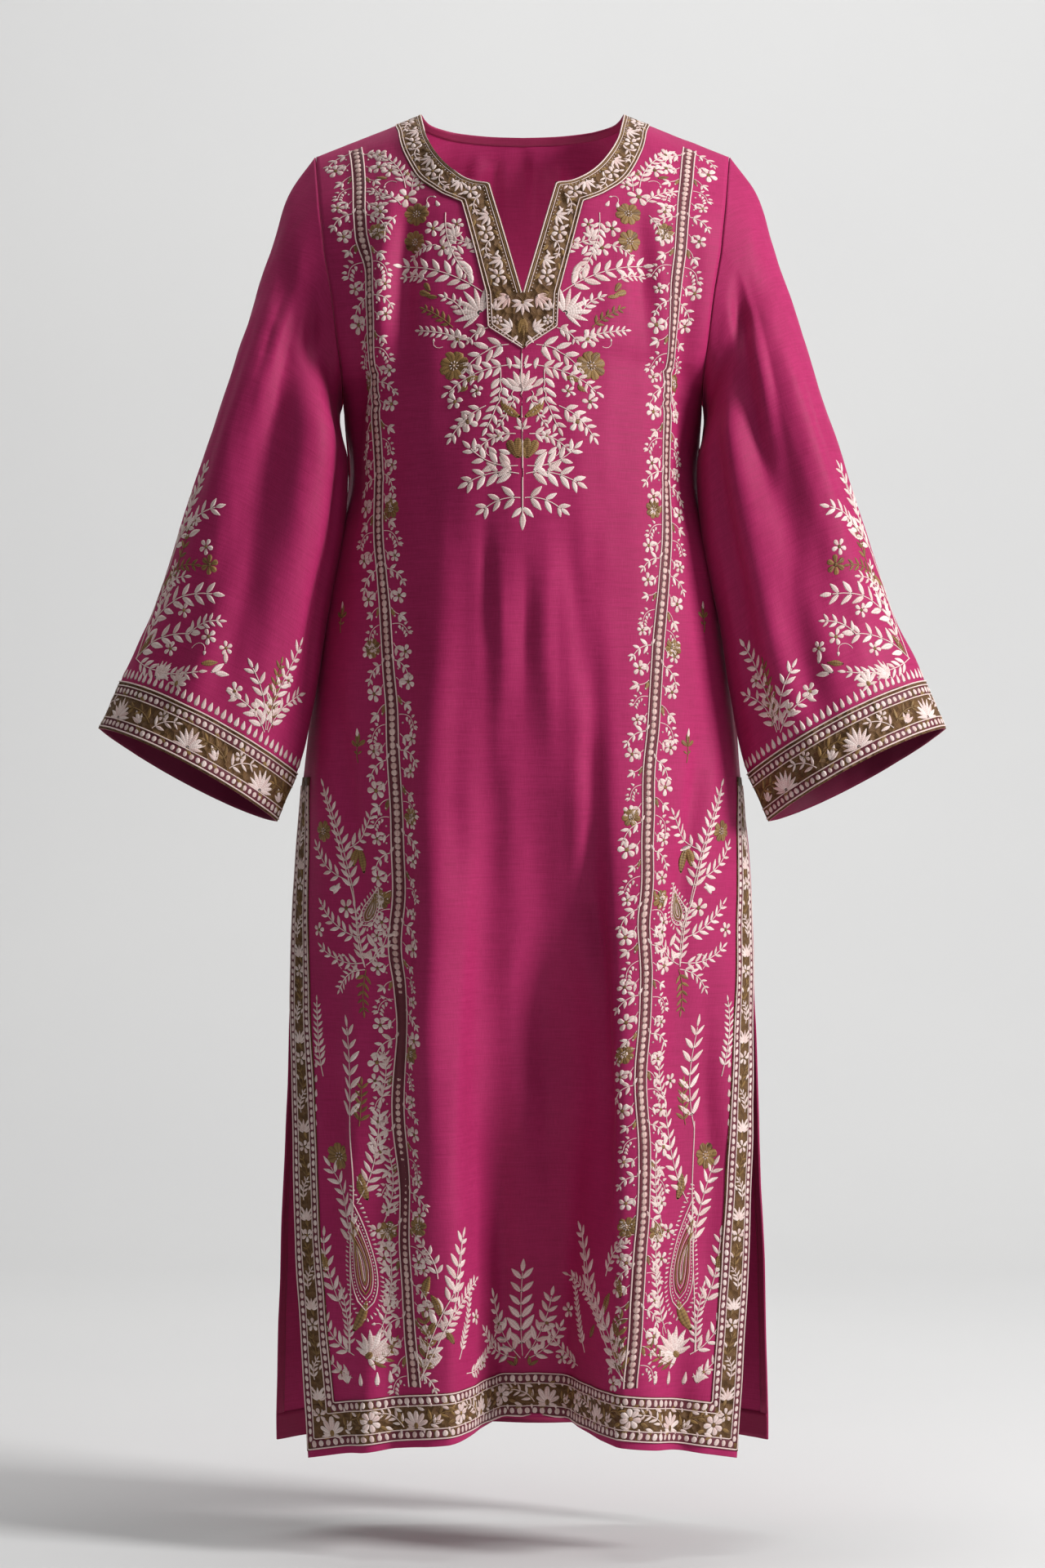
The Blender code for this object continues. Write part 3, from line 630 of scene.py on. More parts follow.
def slack(point):
    """The small uneven drift that is left in pressed cloth, longer than it is wide."""
    streaks = noise.noise((point.x * 46.0, point.y * 46.0, point.z * 5.0))
    dents = noise.noise((point.x * 24.0, point.y * 24.0 + 9.0, point.z * 18.0))
    fine = noise.noise((point.x * 110.0, point.y * 110.0, point.z * 26.0 + 4.0))
    return 0.0017 * streaks + 0.0012 * dents + 0.0004 * fine

# %% Front and back panels
FINER = 8
BACK_FINER = 6
NECK_CELLS = 10
FRONT_CELLS, FRONT_BAND, FRONT_BAND_CELLS = 44, 0.030, 8
BACK_CELLS, BACK_BAND, BACK_BAND_CELLS = 40, 0.008, 3
SEAM = 0.0009
UNDERARM_Z = -0.265
CREASE_DEPTH = 2.3      # how much deeper than the table's light press the creases are worn

front_rows, front_at = finely(FRONT, FINER, row_distance, BACK[1], CORNER_LINES)
back_rows, back_at = finely(BACK, BACK_FINER, row_distance, FRONT[1], CORNER_LINES)
front = panel(front_rows, NECK_CELLS, FRONT_CELLS, FRONT_BAND, FRONT_BAND_CELLS, -1)
back = panel(back_rows, 4, BACK_CELLS, BACK_BAND, BACK_BAND_CELLS, 1)

# The armhole as a loop from the shoulder down the front and up the back
armhole, heading = [], []
down_front = [(front, (1, i, front.width)) for i in range(front_at["underarm"] + 1)]
up_back = [(back, (1, i, back.width)) for i in range(back_at["underarm"] - 1, 0, -1)]
for sheet, (side, i, j) in down_front + up_back:
    edge = sheet.points[sheet.number[(side, i, j)]]
    inner = sheet.points[sheet.number[(side, i, j - 2)]]
    armhole.append(edge.copy())
    heading.append((edge - inner).normalized())


def calm(point):
    """0 at the seam lines of shoulder and armhole, so that the seams stay together, 1 inside."""
    off_shoulder = smoothstep((0.005 - point.z) / 0.05)
    off_armhole = smoothstep((0.172 - abs(point.x)) / 0.03) if point.z > UNDERARM_Z else 1.0
    return min(off_shoulder, off_armhole)


for sheet, folds, creases, way in ((front, FRONT_FOLDS, FRONT_CREASES, -1),
                                   (back, BACK_FOLDS, BACK_CREASES, 1)):
    sheet.push(lambda point: fold_push(folds, point))
    sheet.push(lambda point: calm(point) * (
        CREASE_DEPTH * fold_push(creases, point, 0.006) + slack(point)))
    for point in sheet.points:
        point.y += way * SEAM / 2
    flatten_panel(sheet)
    sheet.settle()
print("front:", len(front.cells), "cells; back:", len(back.cells), "cells")

# %% [markdown]
# ## Sleeves
#
# A sleeve is one piece of cloth, wrapped round the arm and sewn under it. Its rings run from
# the armhole to the flared cuff. The first ring is the armhole's own line, so the seam meets
# all round, and the line eases into plain rings further down. On the flat pattern the outer
# line of the arm is the middle, and heights are measured from the cuff.

# %% Rings of the sleeves
Ring = namedtuple("Ring", "name outer_x outer_z inner_x inner_z mid_y front back lens tilt steps")

SLEEVE = [Ring(*line) for line in (
    ("armhole", .1870, -.0380, .1620, -.2650, .0040, .062, .066, 1.0, 0, 1),
    ("cap a", .2090, -.0700, .1635, -.2720, .0000, .058, .063, 1.0, 0, 1),
    ("cap b", .2250, -.1170, .1640, -.2830, -.0040, .056, .060, 1.0, 0, 1),
    ("cap c", .2390, -.1650, .1615, -.2960, -.0190, .055, .058, 1.0, 0, 1),
    ("bicep", .2575, -.2280, .1560, -.3200, -.0350, .055, .056, 1.0, 0, 1),
    ("arm a", .2810, -.3020, .1600, -.3800, -.0410, .055, .055, 1.1, 0, 1),
    ("elbow", .3050, -.3760, .1735, -.4550, -.0420, .055, .054, 1.2, 0, 1),
    ("arm b", .3300, -.4500, .1850, -.5250, -.0405, .055, .054, 1.3, 4, 1),
    ("border top", .3540, -.5030, .1975, -.5830, -.0420, .055, .055, 1.4, 8, 2),
    ("cuff", .3780, -.5566, .2195, -.6390, -.0450, .055, .055, 1.5, 12, 0),
)]
CAP_FADE = 5.0
SLEEVE_FINER = 12

# Degrees round the sleeve (90 is the middle of the front) and ring numbers
SleeveFold = namedtuple("SleeveFold", "side name turn_top ring_top turn_foot ring_foot reach push peak")

SLEEVE_FOLDS = [SleeveFold(*line) for line in (
    (-1, "elbow crease", 72, 1.5, 92, 7.5, 30, -.012, .5),
    (-1, "outer ridge", 40, 1.6, 46, 8.0, 16, .003, .5),
    (1, "long crease", 108, 1.8, 74, 7.4, 24, -.013, .5),
    (1, "outer ridge", 60, 2.0, 46, 8.0, 22, .008, .5),
    (-1, "back crease", 270, 3.0, 250, 7.0, 30, -.007, .5),
    (1, "back crease", 260, 3.0, 280, 7.0, 30, -.007, .5),
    (-1, "cap dimple", 96, 0.6, 100, 3.4, 16, -.0060, .4),
    (-1, "upper ridge", 70, 1.0, 64, 5.0, 14, .0052, .5),
    (-1, "inner crease", 146, 3.0, 150, 8.8, 16, -.0060, .5),
    (-1, "inner ridge", 118, 1.0, 122, 8.8, 36, .0130, .5),
    (-1, "cuff ripple", 84, 5.0, 74, 9.0, 15, .0050, .6),
    (1, "cap dimple", 84, 0.6, 90, 3.4, 16, -.0060, .4),
    (1, "upper ridge", 74, 1.2, 88, 6.0, 13, .0060, .5),
    (1, "inner crease", 132, 2.6, 138, 8.6, 15, -.0072, .5),
    (1, "cuff ripple", 96, 5.0, 100, 9.0, 16, -.0060, .6),
    (1, "inner ridge", 118, 2.6, 116, 8.8, 14, .0050, .6),
)]

# %% Shape of the sleeves
def ring_distance(a, b):
    return math.dist(((a.outer_x + a.inner_x) / 2, (a.outer_z + a.inner_z) / 2),
                     ((b.outer_x + b.inner_x) / 2, (b.outer_z + b.inner_z) / 2))


def ring_point(ring, turn):
    """The point of a ring at a turn in radians: 0 outer, a quarter front, a half inner."""
    middle = Vector(((ring.outer_x + ring.inner_x) / 2, ring.mid_y, (ring.outer_z + ring.inner_z) / 2))
    reach = Vector((ring.outer_x, ring.mid_y, ring.outer_z)) - middle
    depth = Vector((0.0, 1.0, -math.tan(math.radians(ring.tilt))))
    size = ring.front if math.sin(turn) > 0.0 else ring.back
    swell = math.copysign(abs(math.sin(turn)) ** ring.lens, math.sin(turn))
    return middle + reach * math.cos(turn) - depth * (size * swell)


def sleeve_push(side, turn, number):
    """How far the folds push a sleeve point out, at a turn in degrees and a ring number."""
    total = 0.0
    for fold in SLEEVE_FOLDS:
        share = (number - fold.ring_top) / (fold.ring_foot - fold.ring_top)
        if fold.side == side and 0.0 < share < 1.0:
            middle = fold.turn_top + (fold.turn_foot - fold.turn_top) * share
            if abs(turn - middle) < fold.reach:
                total += fold.push * rise_and_fall(share, fold.peak) * across(
                    turn - middle, fold.reach, 0.0)
    return total


def arc_shares(points):
    """How far along the run of points each one is, from 0 to 1."""
    run = [0.0]
    for a, b in zip(points, points[1:]):
        run.append(run[-1] + (b - a).length)
    return [value / run[-1] for value in run]

# %% Sleeve cloth
LOOSE_FROM = 1.5        # ring number below which the seam no longer holds the cloth smooth


def make_sleeve(side):
    """The sleeve of the +X or the -X side, sewn to the armhole."""
    rings, _ = finely(SLEEVE, SLEEVE_FINER, ring_distance)
    half = front_at["underarm"]
    down, up = arc_shares(armhole[:half + 1]), arc_shares(armhole[half:] + armhole[:1])
    turns = [math.pi * share for share in down[:-1]] + [math.pi * (1 + share) for share in up[:-1]]
    sheet = Sheet()
    sheet.rings, sheet.around, sheet.half = len(rings), len(turns), half
    for i, (number, ring) in enumerate(rings):
        fade = 1.0 - smoothstep(number / CAP_FADE)
        for k, turn in enumerate(turns):
            point = ring_point(ring, turn) + (armhole[k] - ring_point(SLEEVE[0], turn)) * fade
            away = (ring_point(SLEEVE[1], turn) - ring_point(SLEEVE[0], turn)).normalized()
            lean = math.sqrt(max(1.0 - away.dot(heading[k]), 0.0) / 2.0)
            point.x += 0.0003 + 0.0012 * (0.25 + lean)
            sheet.place((i, k), (side * point.x, point.y, point.z))
    for i in range(sheet.rings - 1):
        for k in range(sheet.around):
            after = (k + 1) % sheet.around
            sheet.cell((i, k), ((i, k), (i, after), (i + 1, after), (i + 1, k)), side < 0)
    normals = sheet.normals()
    for i, (number, _) in enumerate(rings):
        for k, turn in enumerate(turns):
            spot = sheet.number[(i, k)]
            loose = smoothstep(number / LOOSE_FROM)
            amount = sleeve_push(side, math.degrees(turn), number) + loose * slack(sheet.points[spot])
            sheet.points[spot] = sheet.points[spot] + normals[spot] * amount
    flatten_sleeve(sheet, side)
    sheet.settle()
    return sheet


def flatten_sleeve(sheet, side):
    """Flat places: across from the outer line, the front half on the body's side, and up from the cuff."""
    def point(i, k):
        return sheet.points[sheet.number[(i, k % sheet.around)]]

    n, half = sheet.around, sheet.half
    height = {}
    for k in range(n):
        height[(sheet.rings - 1, k)] = 0.0
        for i in range(sheet.rings - 2, -1, -1):
            height[(i, k)] = height[(i + 1, k)] + (point(i, k) - point(i + 1, k)).length
    turned = {}
    for i in range(sheet.rings):
        run = 0.0
        turned[(i, 0)] = 0.0
        for k in range(1, half + 1):
            run += (point(i, k) - point(i, k - 1)).length
            turned[(i, k)] = run
        run = 0.0
        for k in range(n - 1, half - 1, -1):
            run += (point(i, k) - point(i, k + 1)).length
            turned[(i, k, "back")] = -run
        turned[(i, n, "back")] = 0.0
    sheet.flat = {}
    for i in range(sheet.rings - 1):
        for k in range(n):
            corners = [(-side * turned[(row, column, "back") if k >= half else (row, column)],
                        height[(row, column % n)])
                       for row, column in ((i, k), (i, k + 1), (i + 1, k + 1), (i + 1, k))]
            sheet.flats[(i, k)] = corners[::-1] if side < 0 else corners
            sheet.flat[(i, k)] = corners[0]
    sheet.cuff_front = turned[(sheet.rings - 1, half)]
    sheet.cuff_back = -turned[(sheet.rings - 1, half, "back")]


sleeves = {side: make_sleeve(side) for side in (1, -1)}
print("sleeve:", len(sleeves[1].cells), "cells; round the cuff:",
      round(sleeves[1].cuff_front + sleeves[1].cuff_back, 3), "m")

# %% [markdown]
# ## The magenta cloth
#
# The cloth is a fine mix of cotton and linen. From a step away it looks plain, but the warp
# and weft threads vary in thickness, which leaves short pale and dark streaks both ways. A
# faint sheen shows as a soft bloom where the cloth turns away. The weave is laid in
# metres on the flat pattern, so that it follows the cloth round the sleeves.

# %% Cloth material
CLOTH_LIGHT = linear(186, 46, 106)
CLOTH_DEEP = linear(138, 20, 70)


def cloth_material(name, light=CLOTH_LIGHT, deep=CLOTH_DEEP):
    material, nodes, shader = new_material(name, 0.62, sheen=0.10, sheen_tint=(255, 170, 205), specular=0.2)
    flat = nodes.add("ShaderNodeUVMap", {"uv_map": "cloth"}).outputs[0]
    warp = stretched_noise(nodes, flat, (1500.0, 90.0, 1.0), 2.0)
    weft = stretched_noise(nodes, flat, (80.0, 1400.0, 1.0), 2.0)
    slubs = stretched_noise(nodes, flat, (26.0, 480.0, 1.0), 2.0)
    dye = stretched_noise(nodes, flat, (7.0, 4.0, 1.0), 3.0)
    tone = (0.5 * warp + 0.5 * weft + 0.5 * slubs + 0.7 * dye - 0.6).clamped()
    relief = warp * 0.5 + weft * 0.5 + slubs * 0.4
    bump = nodes.add("ShaderNodeBump", None, {"Strength": 0.35, "Distance": 0.0004, "Height": relief})
    nodes.feed(shader, {"Base Color": mix_colours(nodes, tone, deep, light),
                        "Roughness": 0.56 + slubs * 0.14, "Normal": bump.outputs[0]})
    return material


magenta = cloth_material("magenta silk cotton")
inner = cloth_material("magenta turnings", linear(158, 44, 86), linear(126, 28, 64))
# A darker magenta for the sleeves' inner face: painted shade for the inside of the sleeve, where the light
# doesn't reach.
sleeve_inside_painted_shade = cloth_material("magenta wrong side", linear(112, 20, 56), linear(86, 12, 42))
print("cloth materials:", magenta.name, "and", inner.name)

# %% A mesh from a sheet
WALL = 0.0010         # wall of the cloth
STRIP = 0.0008        # wall of a strip sewn on it
STRIP_LIFT = WALL / 2 + 0.0001 + STRIP / 2


def cloth_object(name, sheet, material, nodes_replaced, slot, names=None, lift=0.0, wall=WALL,
                 inner_painted_shade=None):
    """A piece of cloth from all the sheet's faces, or those named, moved out by lift."""
    names = list(sheet.cells) if names is None else names
    normals = sheet.normals() if lift else None
    used = sorted({corner for key in names for corner in sheet.cells[key]})
    place = {corner: spot for spot, corner in enumerate(used)}
    points = [sheet.points[c] + normals[c] * lift if lift else sheet.points[c] for c in used]
    mesh = mesh_of(name, points, [[place[c] for c in sheet.cells[key]] for key in names])
    uv = mesh.uv_layers.new(name="cloth")
    uv.data.foreach_set("uv", [value for key in names for flat in sheet.flats[key] for value in flat])
    mesh.shade_smooth()
    mesh.materials.append(material)
    piece = put(name, mesh)
    wall_maker = piece.modifiers.new("Wall", "SOLIDIFY")
    wall_maker.thickness, wall_maker.offset = wall, 0.0
    # The inner shell of the wall takes the second material: painted shade on the cloth's inside.
    if inner_painted_shade:
        mesh.materials.append(inner_painted_shade)
        wall_maker.material_offset = 1
    finished = flatten_modifiers(piece)
    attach(finished, "root")
    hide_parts(*nodes_replaced)
    return finished


def flatten_modifiers(piece):
    """Turns the piece with its modifiers into a plain mesh on the same object."""
    graph = bpy.context.evaluated_depsgraph_get()
    mesh = bpy.data.meshes.new_from_object(piece.evaluated_get(graph))
    piece.modifiers.clear()
    old, piece.data = piece.data, mesh
    bpy.data.meshes.remove(old)
    mesh.name = piece.name
    return piece


def carrier(name, sheet):
    """A bare copy of the sheet, one layer thick, on which stitches find their place."""
    mesh = mesh_of(name, sheet.points, list(sheet.cells.values()))
    uv = mesh.uv_layers.new(name="cloth")
    uv.data.foreach_set("uv", [value for flats in sheet.flats.values() for flat in flats for value in flat])
    outward = mesh.attributes.new("outward", "FLOAT_VECTOR", "POINT")
    outward.data.foreach_set("vector", [value for normal in sheet.normals() for value in normal])
    piece = put(name, mesh)
    piece.hide_render = True
    return piece


# %% Panels and sleeves
panels = {
    "front": cloth_object("front_panel", front, magenta, ["front"], "cloth"),
    "back": cloth_object("back_panel", back, magenta, ["back"], "cloth"),
    # The sleeves' inner faces take the darker magenta: painted shade.
    "left": cloth_object("left_sleeve", sleeves[1], magenta, ["sleeve_left"], "cloth",
                         inner_painted_shade=sleeve_inside_painted_shade),
    "right": cloth_object("right_sleeve", sleeves[-1], magenta, ["sleeve_right"], "cloth",
                          inner_painted_shade=sleeve_inside_painted_shade),
}
for word, piece in panels.items():
    print(word, len(piece.data.polygons), "faces")

# %% [markdown]
# ## Borders and turnings
#
# The borders are dense embroidery: an olive-brown ground of flat stitches that covers the
# cloth, with cream cords, beads and flowers over it. The ground is a thin strip that lies on
# the panel, made of the panel's own faces moved out, so it follows every fold. Inside the
# back, the neck binding, the hem's turn-up and the slits' turn-ins are strips of the same
# kind, moved in.

# %% Border ground material
def ground_material():
    """Olive-brown flat stitches, some rows more golden."""
    material, nodes, shader = new_material("olive border ground", 0.6, sheen=0.03,
                                           sheen_tint=(230, 210, 170), specular=0.2)
    flat = nodes.add("ShaderNodeUVMap", {"uv_map": "cloth"}).outputs[0]
    place = nodes.add("ShaderNodeTexCoord").outputs["Object"]
    patches = nodes.value("ShaderNodeTexVoronoi", {"feature": "F1"}, {"Vector": flat, "Scale": 150.0})
    hue = stretched_noise(nodes, flat, (120.0, 120.0, 1.0), 3.0)
    rows = nodes.value("ShaderNodeTexWave", {"wave_type": "BANDS", "bands_direction": "DIAGONAL"},
                       {"Vector": flat, "Scale": 420.0, "Distortion": 3.0, "Detail": 1.0}, output=1)
    fine = stretched_noise(nodes, place, (900.0, 900.0, 300.0), 2.0)
    base = mix_colours(nodes, (hue * 2.2 - 0.62).clamped(), linear(66, 36, 28), linear(98, 68, 38))
    golden = mix_colours(nodes, (rows * 0.5 + fine * 0.5 - 0.25).clamped(), base, linear(142, 110, 70))
    relief = rows * 0.6 + fine * 0.4 + patches * 20.0
    bump = nodes.add("ShaderNodeBump", None, {"Strength": 0.6, "Distance": 0.0005, "Height": relief})
    nodes.feed(shader, {"Base Color": golden, "Normal": bump.outputs[0]})
    return material


olive_ground = ground_material()

# %% Border strips
shield = front_at["shield point"]
hem_top, hem_foot, slit_top = front_at["border top"], front_at["border foot"], front_at["slit top"]
slit_band = front.width - FRONT_BAND_CELLS
CUFF_GROUND = 0.0475    # height of the cuff's ground above the edge
strips, strips_on = {}, {}


def border(name, sheet, wanted, node, lift=STRIP_LIFT, material=olive_ground, slot="embroidered_border"):
    """A strip on the cells of the sheet that are wanted, standing for a solid."""
    names = [key for key in sheet.cells if wanted(*key)]
    strips[name] = cloth_object(name, sheet, material, [node], slot, names, lift, STRIP)
    strips_on.setdefault(id(sheet), []).append(strips[name])


border("neck_ground", front, lambda side, i, j: i < shield and j < NECK_CELLS, "neck_border")
border("hem_ground", front, lambda side, i, j: hem_top <= i < hem_foot, "hem_border")
for side, word in ((1, "left"), (-1, "right")):
    border(f"slit_ground_{word}", front,
           lambda half, i, j, side=side: half == side and slit_top <= i < hem_top and j >= slit_band,
           f"slit_border_{word}")
    border(f"cuff_ground_{word}", sleeves[side],
           lambda i, k, sheet=sleeves[side]: max(v for _, v in sheet.flats[(i, k)]) < CUFF_GROUND,
           f"cuff_border_{word}")

neck_middle, turn_up, back_slit = back_at["neck middle"], back_at["turn-up top"], back_at["slit top"]
back_band = back.width - BACK_BAND_CELLS
turning = {"lift": -STRIP_LIFT, "material": inner, "slot": "inner_turnings"}
border("neck_binding", back, lambda side, i, j: i < neck_middle and j < 4, "back_neck_binding", **turning)
border("hem_turn_up", back, lambda side, i, j: i >= turn_up, "back_hem_turn_up", **turning)
for side, word in ((1, "left"), (-1, "right")):
    border(f"slit_turning_{word}", back,
           lambda half, i, j, side=side: half == side and back_slit <= i < turn_up and j >= back_band,
           f"slit_turn_in_{word}", **turning)
print("strips:", ", ".join(strips))

# %% [markdown]
# ## How the embroidery is made
#
# The embroidery is satin stitch in floss: every leaf and petal is a small padded dome, and
# the stems and outlines are laid cords. There are thousands of stitched shapes but only a few
# kinds, so each kind is one small mesh, and Geometry Nodes puts a copy on every point. The
# drawing is done in millimetres on the flat pattern. The last step of the tree looks up each
# point of the stitches on the cloth's flat places and lifts it onto the cloth in the air, so
# that a leaf bends with the cloth below it.

# %% Padded shapes
Pad = namedtuple("Pad", "name widths profile bend")
CURVED = (.44, .84, 1.0, .78, .36)
GROOVED = ((-1, 0), (-.5, 1), (0, .66), (.5, 1), (1, 0))
PADS = [
    Pad("leaf", (.44, .86, 1.0, .74, .32), GROOVED, 0.0),
    Pad("petal", (.36, .66, .92, 1.0, .72), ((-1, 0), (-.5, 1), (0, .74), (.5, 1), (1, 0)), 0.0),
    Pad("bead", (.62, .94, 1.0, .94, .62), ((-1, 0), (-.45, .9), (.45, .9), (1, 0)), 0.0),
    Pad("drop", (.72, 1.0, .88, .58, .26), ((-1, 0), (-.5, .95), (0, .8), (.5, .95), (1, 0)), 0.0),
    Pad("sickle", CURVED, GROOVED, 0.42),
    Pad("scythe", CURVED, GROOVED, -0.42),
]
SHAPE_NUMBER = {pad.name: number for number, pad in enumerate(PADS)}
CORD, RIBBON = -1, -2


def pad_object(pad):
    """The shape at unit size: it starts at the origin and points along +X, 1 long and 1 wide."""
    stations = [0.10, 0.30, 0.50, 0.70, 0.90]
    points, uvs = [(0.0, 0.0, 0.0)], [(0.5, 0.0)]
    for t, width in zip(stations, pad.widths):
        for offset, height in pad.profile:
            swell = math.sin(math.pi * t) ** 0.6
            points.append((t, offset * width * 0.5 + pad.bend * 4 * t * (1 - t) * 0.5, height * swell))
            uvs.append((offset * 0.5 + 0.5, t))
    points.append((1.0, 0.0, 0.0))
    uvs.append((0.5, 1.0))
    n, last = len(pad.profile), len(points) - 1
    row = [[1 + r * n + c for c in range(n)] for r in range(len(stations))]
    faces = [(0, row[0][c], row[0][c + 1]) for c in range(n - 1)]
    for a, b in zip(row, row[1:]):
        faces += [(b[c + 1], b[c], a[c], a[c + 1]) for c in range(n - 1)]
    faces += [(last, row[-1][c], row[-1][c + 1]) for c in range(n - 1)]
    faces.append((0, *(r[0] for r in row), last, *(r[-1] for r in reversed(row))))
    mesh = mesh_of(f"pad {pad.name}", points, faces)
    thread = mesh.uv_layers.new(name="thread")
    for loop in mesh.loops:
        thread.data[loop.index].uv = uvs[loop.vertex_index]
    up = sum(face.normal.z * face.area for face in mesh.polygons[:-1])
    if up < 0.0:
        mesh.flip_normals()
    made = put(f"pad {pad.name}", mesh)
    made.hide_render = made.hide_viewport = True
    return made


pad_objects = [pad_object(pad) for pad in PADS]
print("padded shapes:", ", ".join(pad.name for pad in PADS))

# %% The tree that lays stitches on cloth
def stitching_tree():
    """Inputs: the drawing, the cloth that carries it, the spacing along a cord, the material."""
    tree = bpy.data.node_groups.new("lay stitches on cloth", "GeometryNodeTree")
    for name, way, kind in (("Drawing", "INPUT", "Geometry"), ("Cloth", "INPUT", "Object"),
                            ("Cord step", "INPUT", "Float"), ("Thread", "INPUT", "Material"),
                            ("Stitches", "OUTPUT", "Geometry")):
        tree.interface.new_socket(name, in_out=way, socket_type=f"NodeSocket{kind}")
    nodes = Nodes(tree)
    given = nodes.add("NodeGroupInput").outputs

    def named(name, kind="FLOAT"):
        return nodes.add("GeometryNodeInputNamedAttribute", {"data_type": kind}, {"Name": name}).outputs[0]

    shape = named("shape", "INT")

    def is_shape(number):
        return nodes.add("FunctionNodeCompare", {"data_type": "INT", "operation": "EQUAL"},
                         {2: shape, 3: number}).outputs[0]

    turn = nodes.add("ShaderNodeCombineXYZ", None, {"Z": named("angle")}).outputs[0]
    join = nodes.add("GeometryNodeJoinGeometry")
    for number, made in enumerate(pad_objects):
        source = nodes.add("GeometryNodeObjectInfo", None, {"Object": made}).outputs["Geometry"]
        placed = nodes.add("GeometryNodeInstanceOnPoints", None, {
            "Points": given["Drawing"], "Selection": is_shape(number), "Instance": source,
            "Rotation": turn, "Scale": named("size", "FLOAT_VECTOR")})
        tree.links.new(placed.outputs[0], join.inputs[0])

    line = nodes.add("GeometryNodeMeshToCurve", None,
                     {"Mesh": given["Drawing"], "Selection": is_shape(CORD)}).outputs[0]
    even = nodes.add("GeometryNodeResampleCurve", {"mode": "LENGTH"},
                     {"Curve": line, "Length": given["Cord step"]}).outputs[0]
    section = nodes.add("GeometryNodeCurvePrimitiveCircle", None, {"Resolution": 6, "Radius": 1.0})
    cords = nodes.add("GeometryNodeCurveToMesh", None, {
        "Curve": even, "Profile Curve": section.outputs[0], "Fill Caps": True,
        "Scale": named("radius")})
    tree.links.new(cords.outputs[0], join.inputs[0])
    ribbons = nodes.add("GeometryNodeSeparateGeometry", {"domain": "FACE"},
                        {"Geometry": given["Drawing"], "Selection": is_shape(RIBBON)})
    tree.links.new(ribbons.outputs[0], join.inputs[0])

    real = nodes.add("GeometryNodeRealizeInstances", None, {"Geometry": join.outputs[0]}).outputs[0]
    here = nodes.add("GeometryNodeInputPosition").outputs[0]
    height = nodes.add("ShaderNodeSeparateXYZ", None, {"Vector": here}).outputs["Z"]
    cloth = nodes.add("GeometryNodeObjectInfo", None, {"Object": given["Cloth"]}).outputs["Geometry"]

    def on_cloth(what):
        return nodes.add("GeometryNodeSampleUVSurface", {"data_type": "FLOAT_VECTOR"}, {
            "Mesh": cloth, "Value": what, "Source UV Map": named("cloth", "FLOAT_VECTOR"),
            "Sample UV": here}).outputs

    place, found = on_cloth(nodes.add("GeometryNodeInputPosition").outputs[0])
    outward, _ = on_cloth(named("outward", "FLOAT_VECTOR"))
    missing = nodes.add("FunctionNodeBooleanMath", {"operation": "NOT"}, {0: found}).outputs[0]
    kept = nodes.add("GeometryNodeDeleteGeometry", {"domain": "POINT"},
                     {"Geometry": real, "Selection": missing}).outputs[0]
    lift = nodes.add("ShaderNodeVectorMath", {"operation": "SCALE"},
                     {0: outward, "Scale": height}).outputs[0]
    spot = nodes.add("ShaderNodeVectorMath", {"operation": "ADD"}, {0: place, 1: lift}).outputs[0]
    laid = nodes.add("GeometryNodeSetPosition", None, {"Geometry": kept, "Position": spot}).outputs[0]
    smooth = nodes.add("GeometryNodeSetShadeSmooth", None,
                       {"Geometry": laid, "Shade Smooth": True}).outputs[0]
    dressed = nodes.add("GeometryNodeSetMaterial", None,
                        {"Geometry": smooth, "Material": given["Thread"]}).outputs[0]
    nodes.add("NodeGroupOutput", None, {0: dressed})
    return tree


lay_stitches = stitching_tree()
print("tree:", lay_stitches.name, "with", len(lay_stitches.nodes), "nodes")

# %% Threads
def thread_material(name, light, deep, roughness, sheen_tint):
    """Floss: fine ridges across each padded shape, a little darker in some stitches, and painted shade down
    each shape's middle groove.
    """
    material, nodes, shader = new_material(name, roughness, sheen=0.08, sheen_tint=sheen_tint, specular=0.3)
    across_map = nodes.add("ShaderNodeUVMap", {"uv_map": "thread"}).outputs[0]
    place = nodes.add("ShaderNodeTexCoord").outputs["Object"]
    strands = nodes.value("ShaderNodeTexWave", {"wave_type": "BANDS", "bands_direction": "Y"},
                          {"Vector": across_map, "Scale": 3.4, "Distortion": 1.4, "Detail": 1.0}, output=1)
    uneven = stretched_noise(nodes, place, (260.0, 260.0, 260.0), 2.0)
    shade = nodes.value("ShaderNodeAttribute", {"attribute_name": "shade"}, (), output=2)
    over = nodes.value("ShaderNodeSeparateXYZ", None, {"Vector": across_map})
    # Darker along the middle line of each padded shape: painted shade in the groove between its padded halves.
    groove_shade = (over - 0.5).maths("ABSOLUTE").maths("MULTIPLY", 9.0).clamped()
    factor = (shade * 0.4 + strands * 0.3 + uneven * 0.45 + groove_shade * 0.42 - 0.52).clamped()
    bump = nodes.add("ShaderNodeBump", None, {"Strength": 0.5, "Distance": 0.0003,
                                              "Height": strands * 0.7 + uneven * 0.5})
    nodes.feed(shader, {"Base Color": mix_colours(nodes, factor, deep, light), "Normal": bump.outputs[0]})
    return material


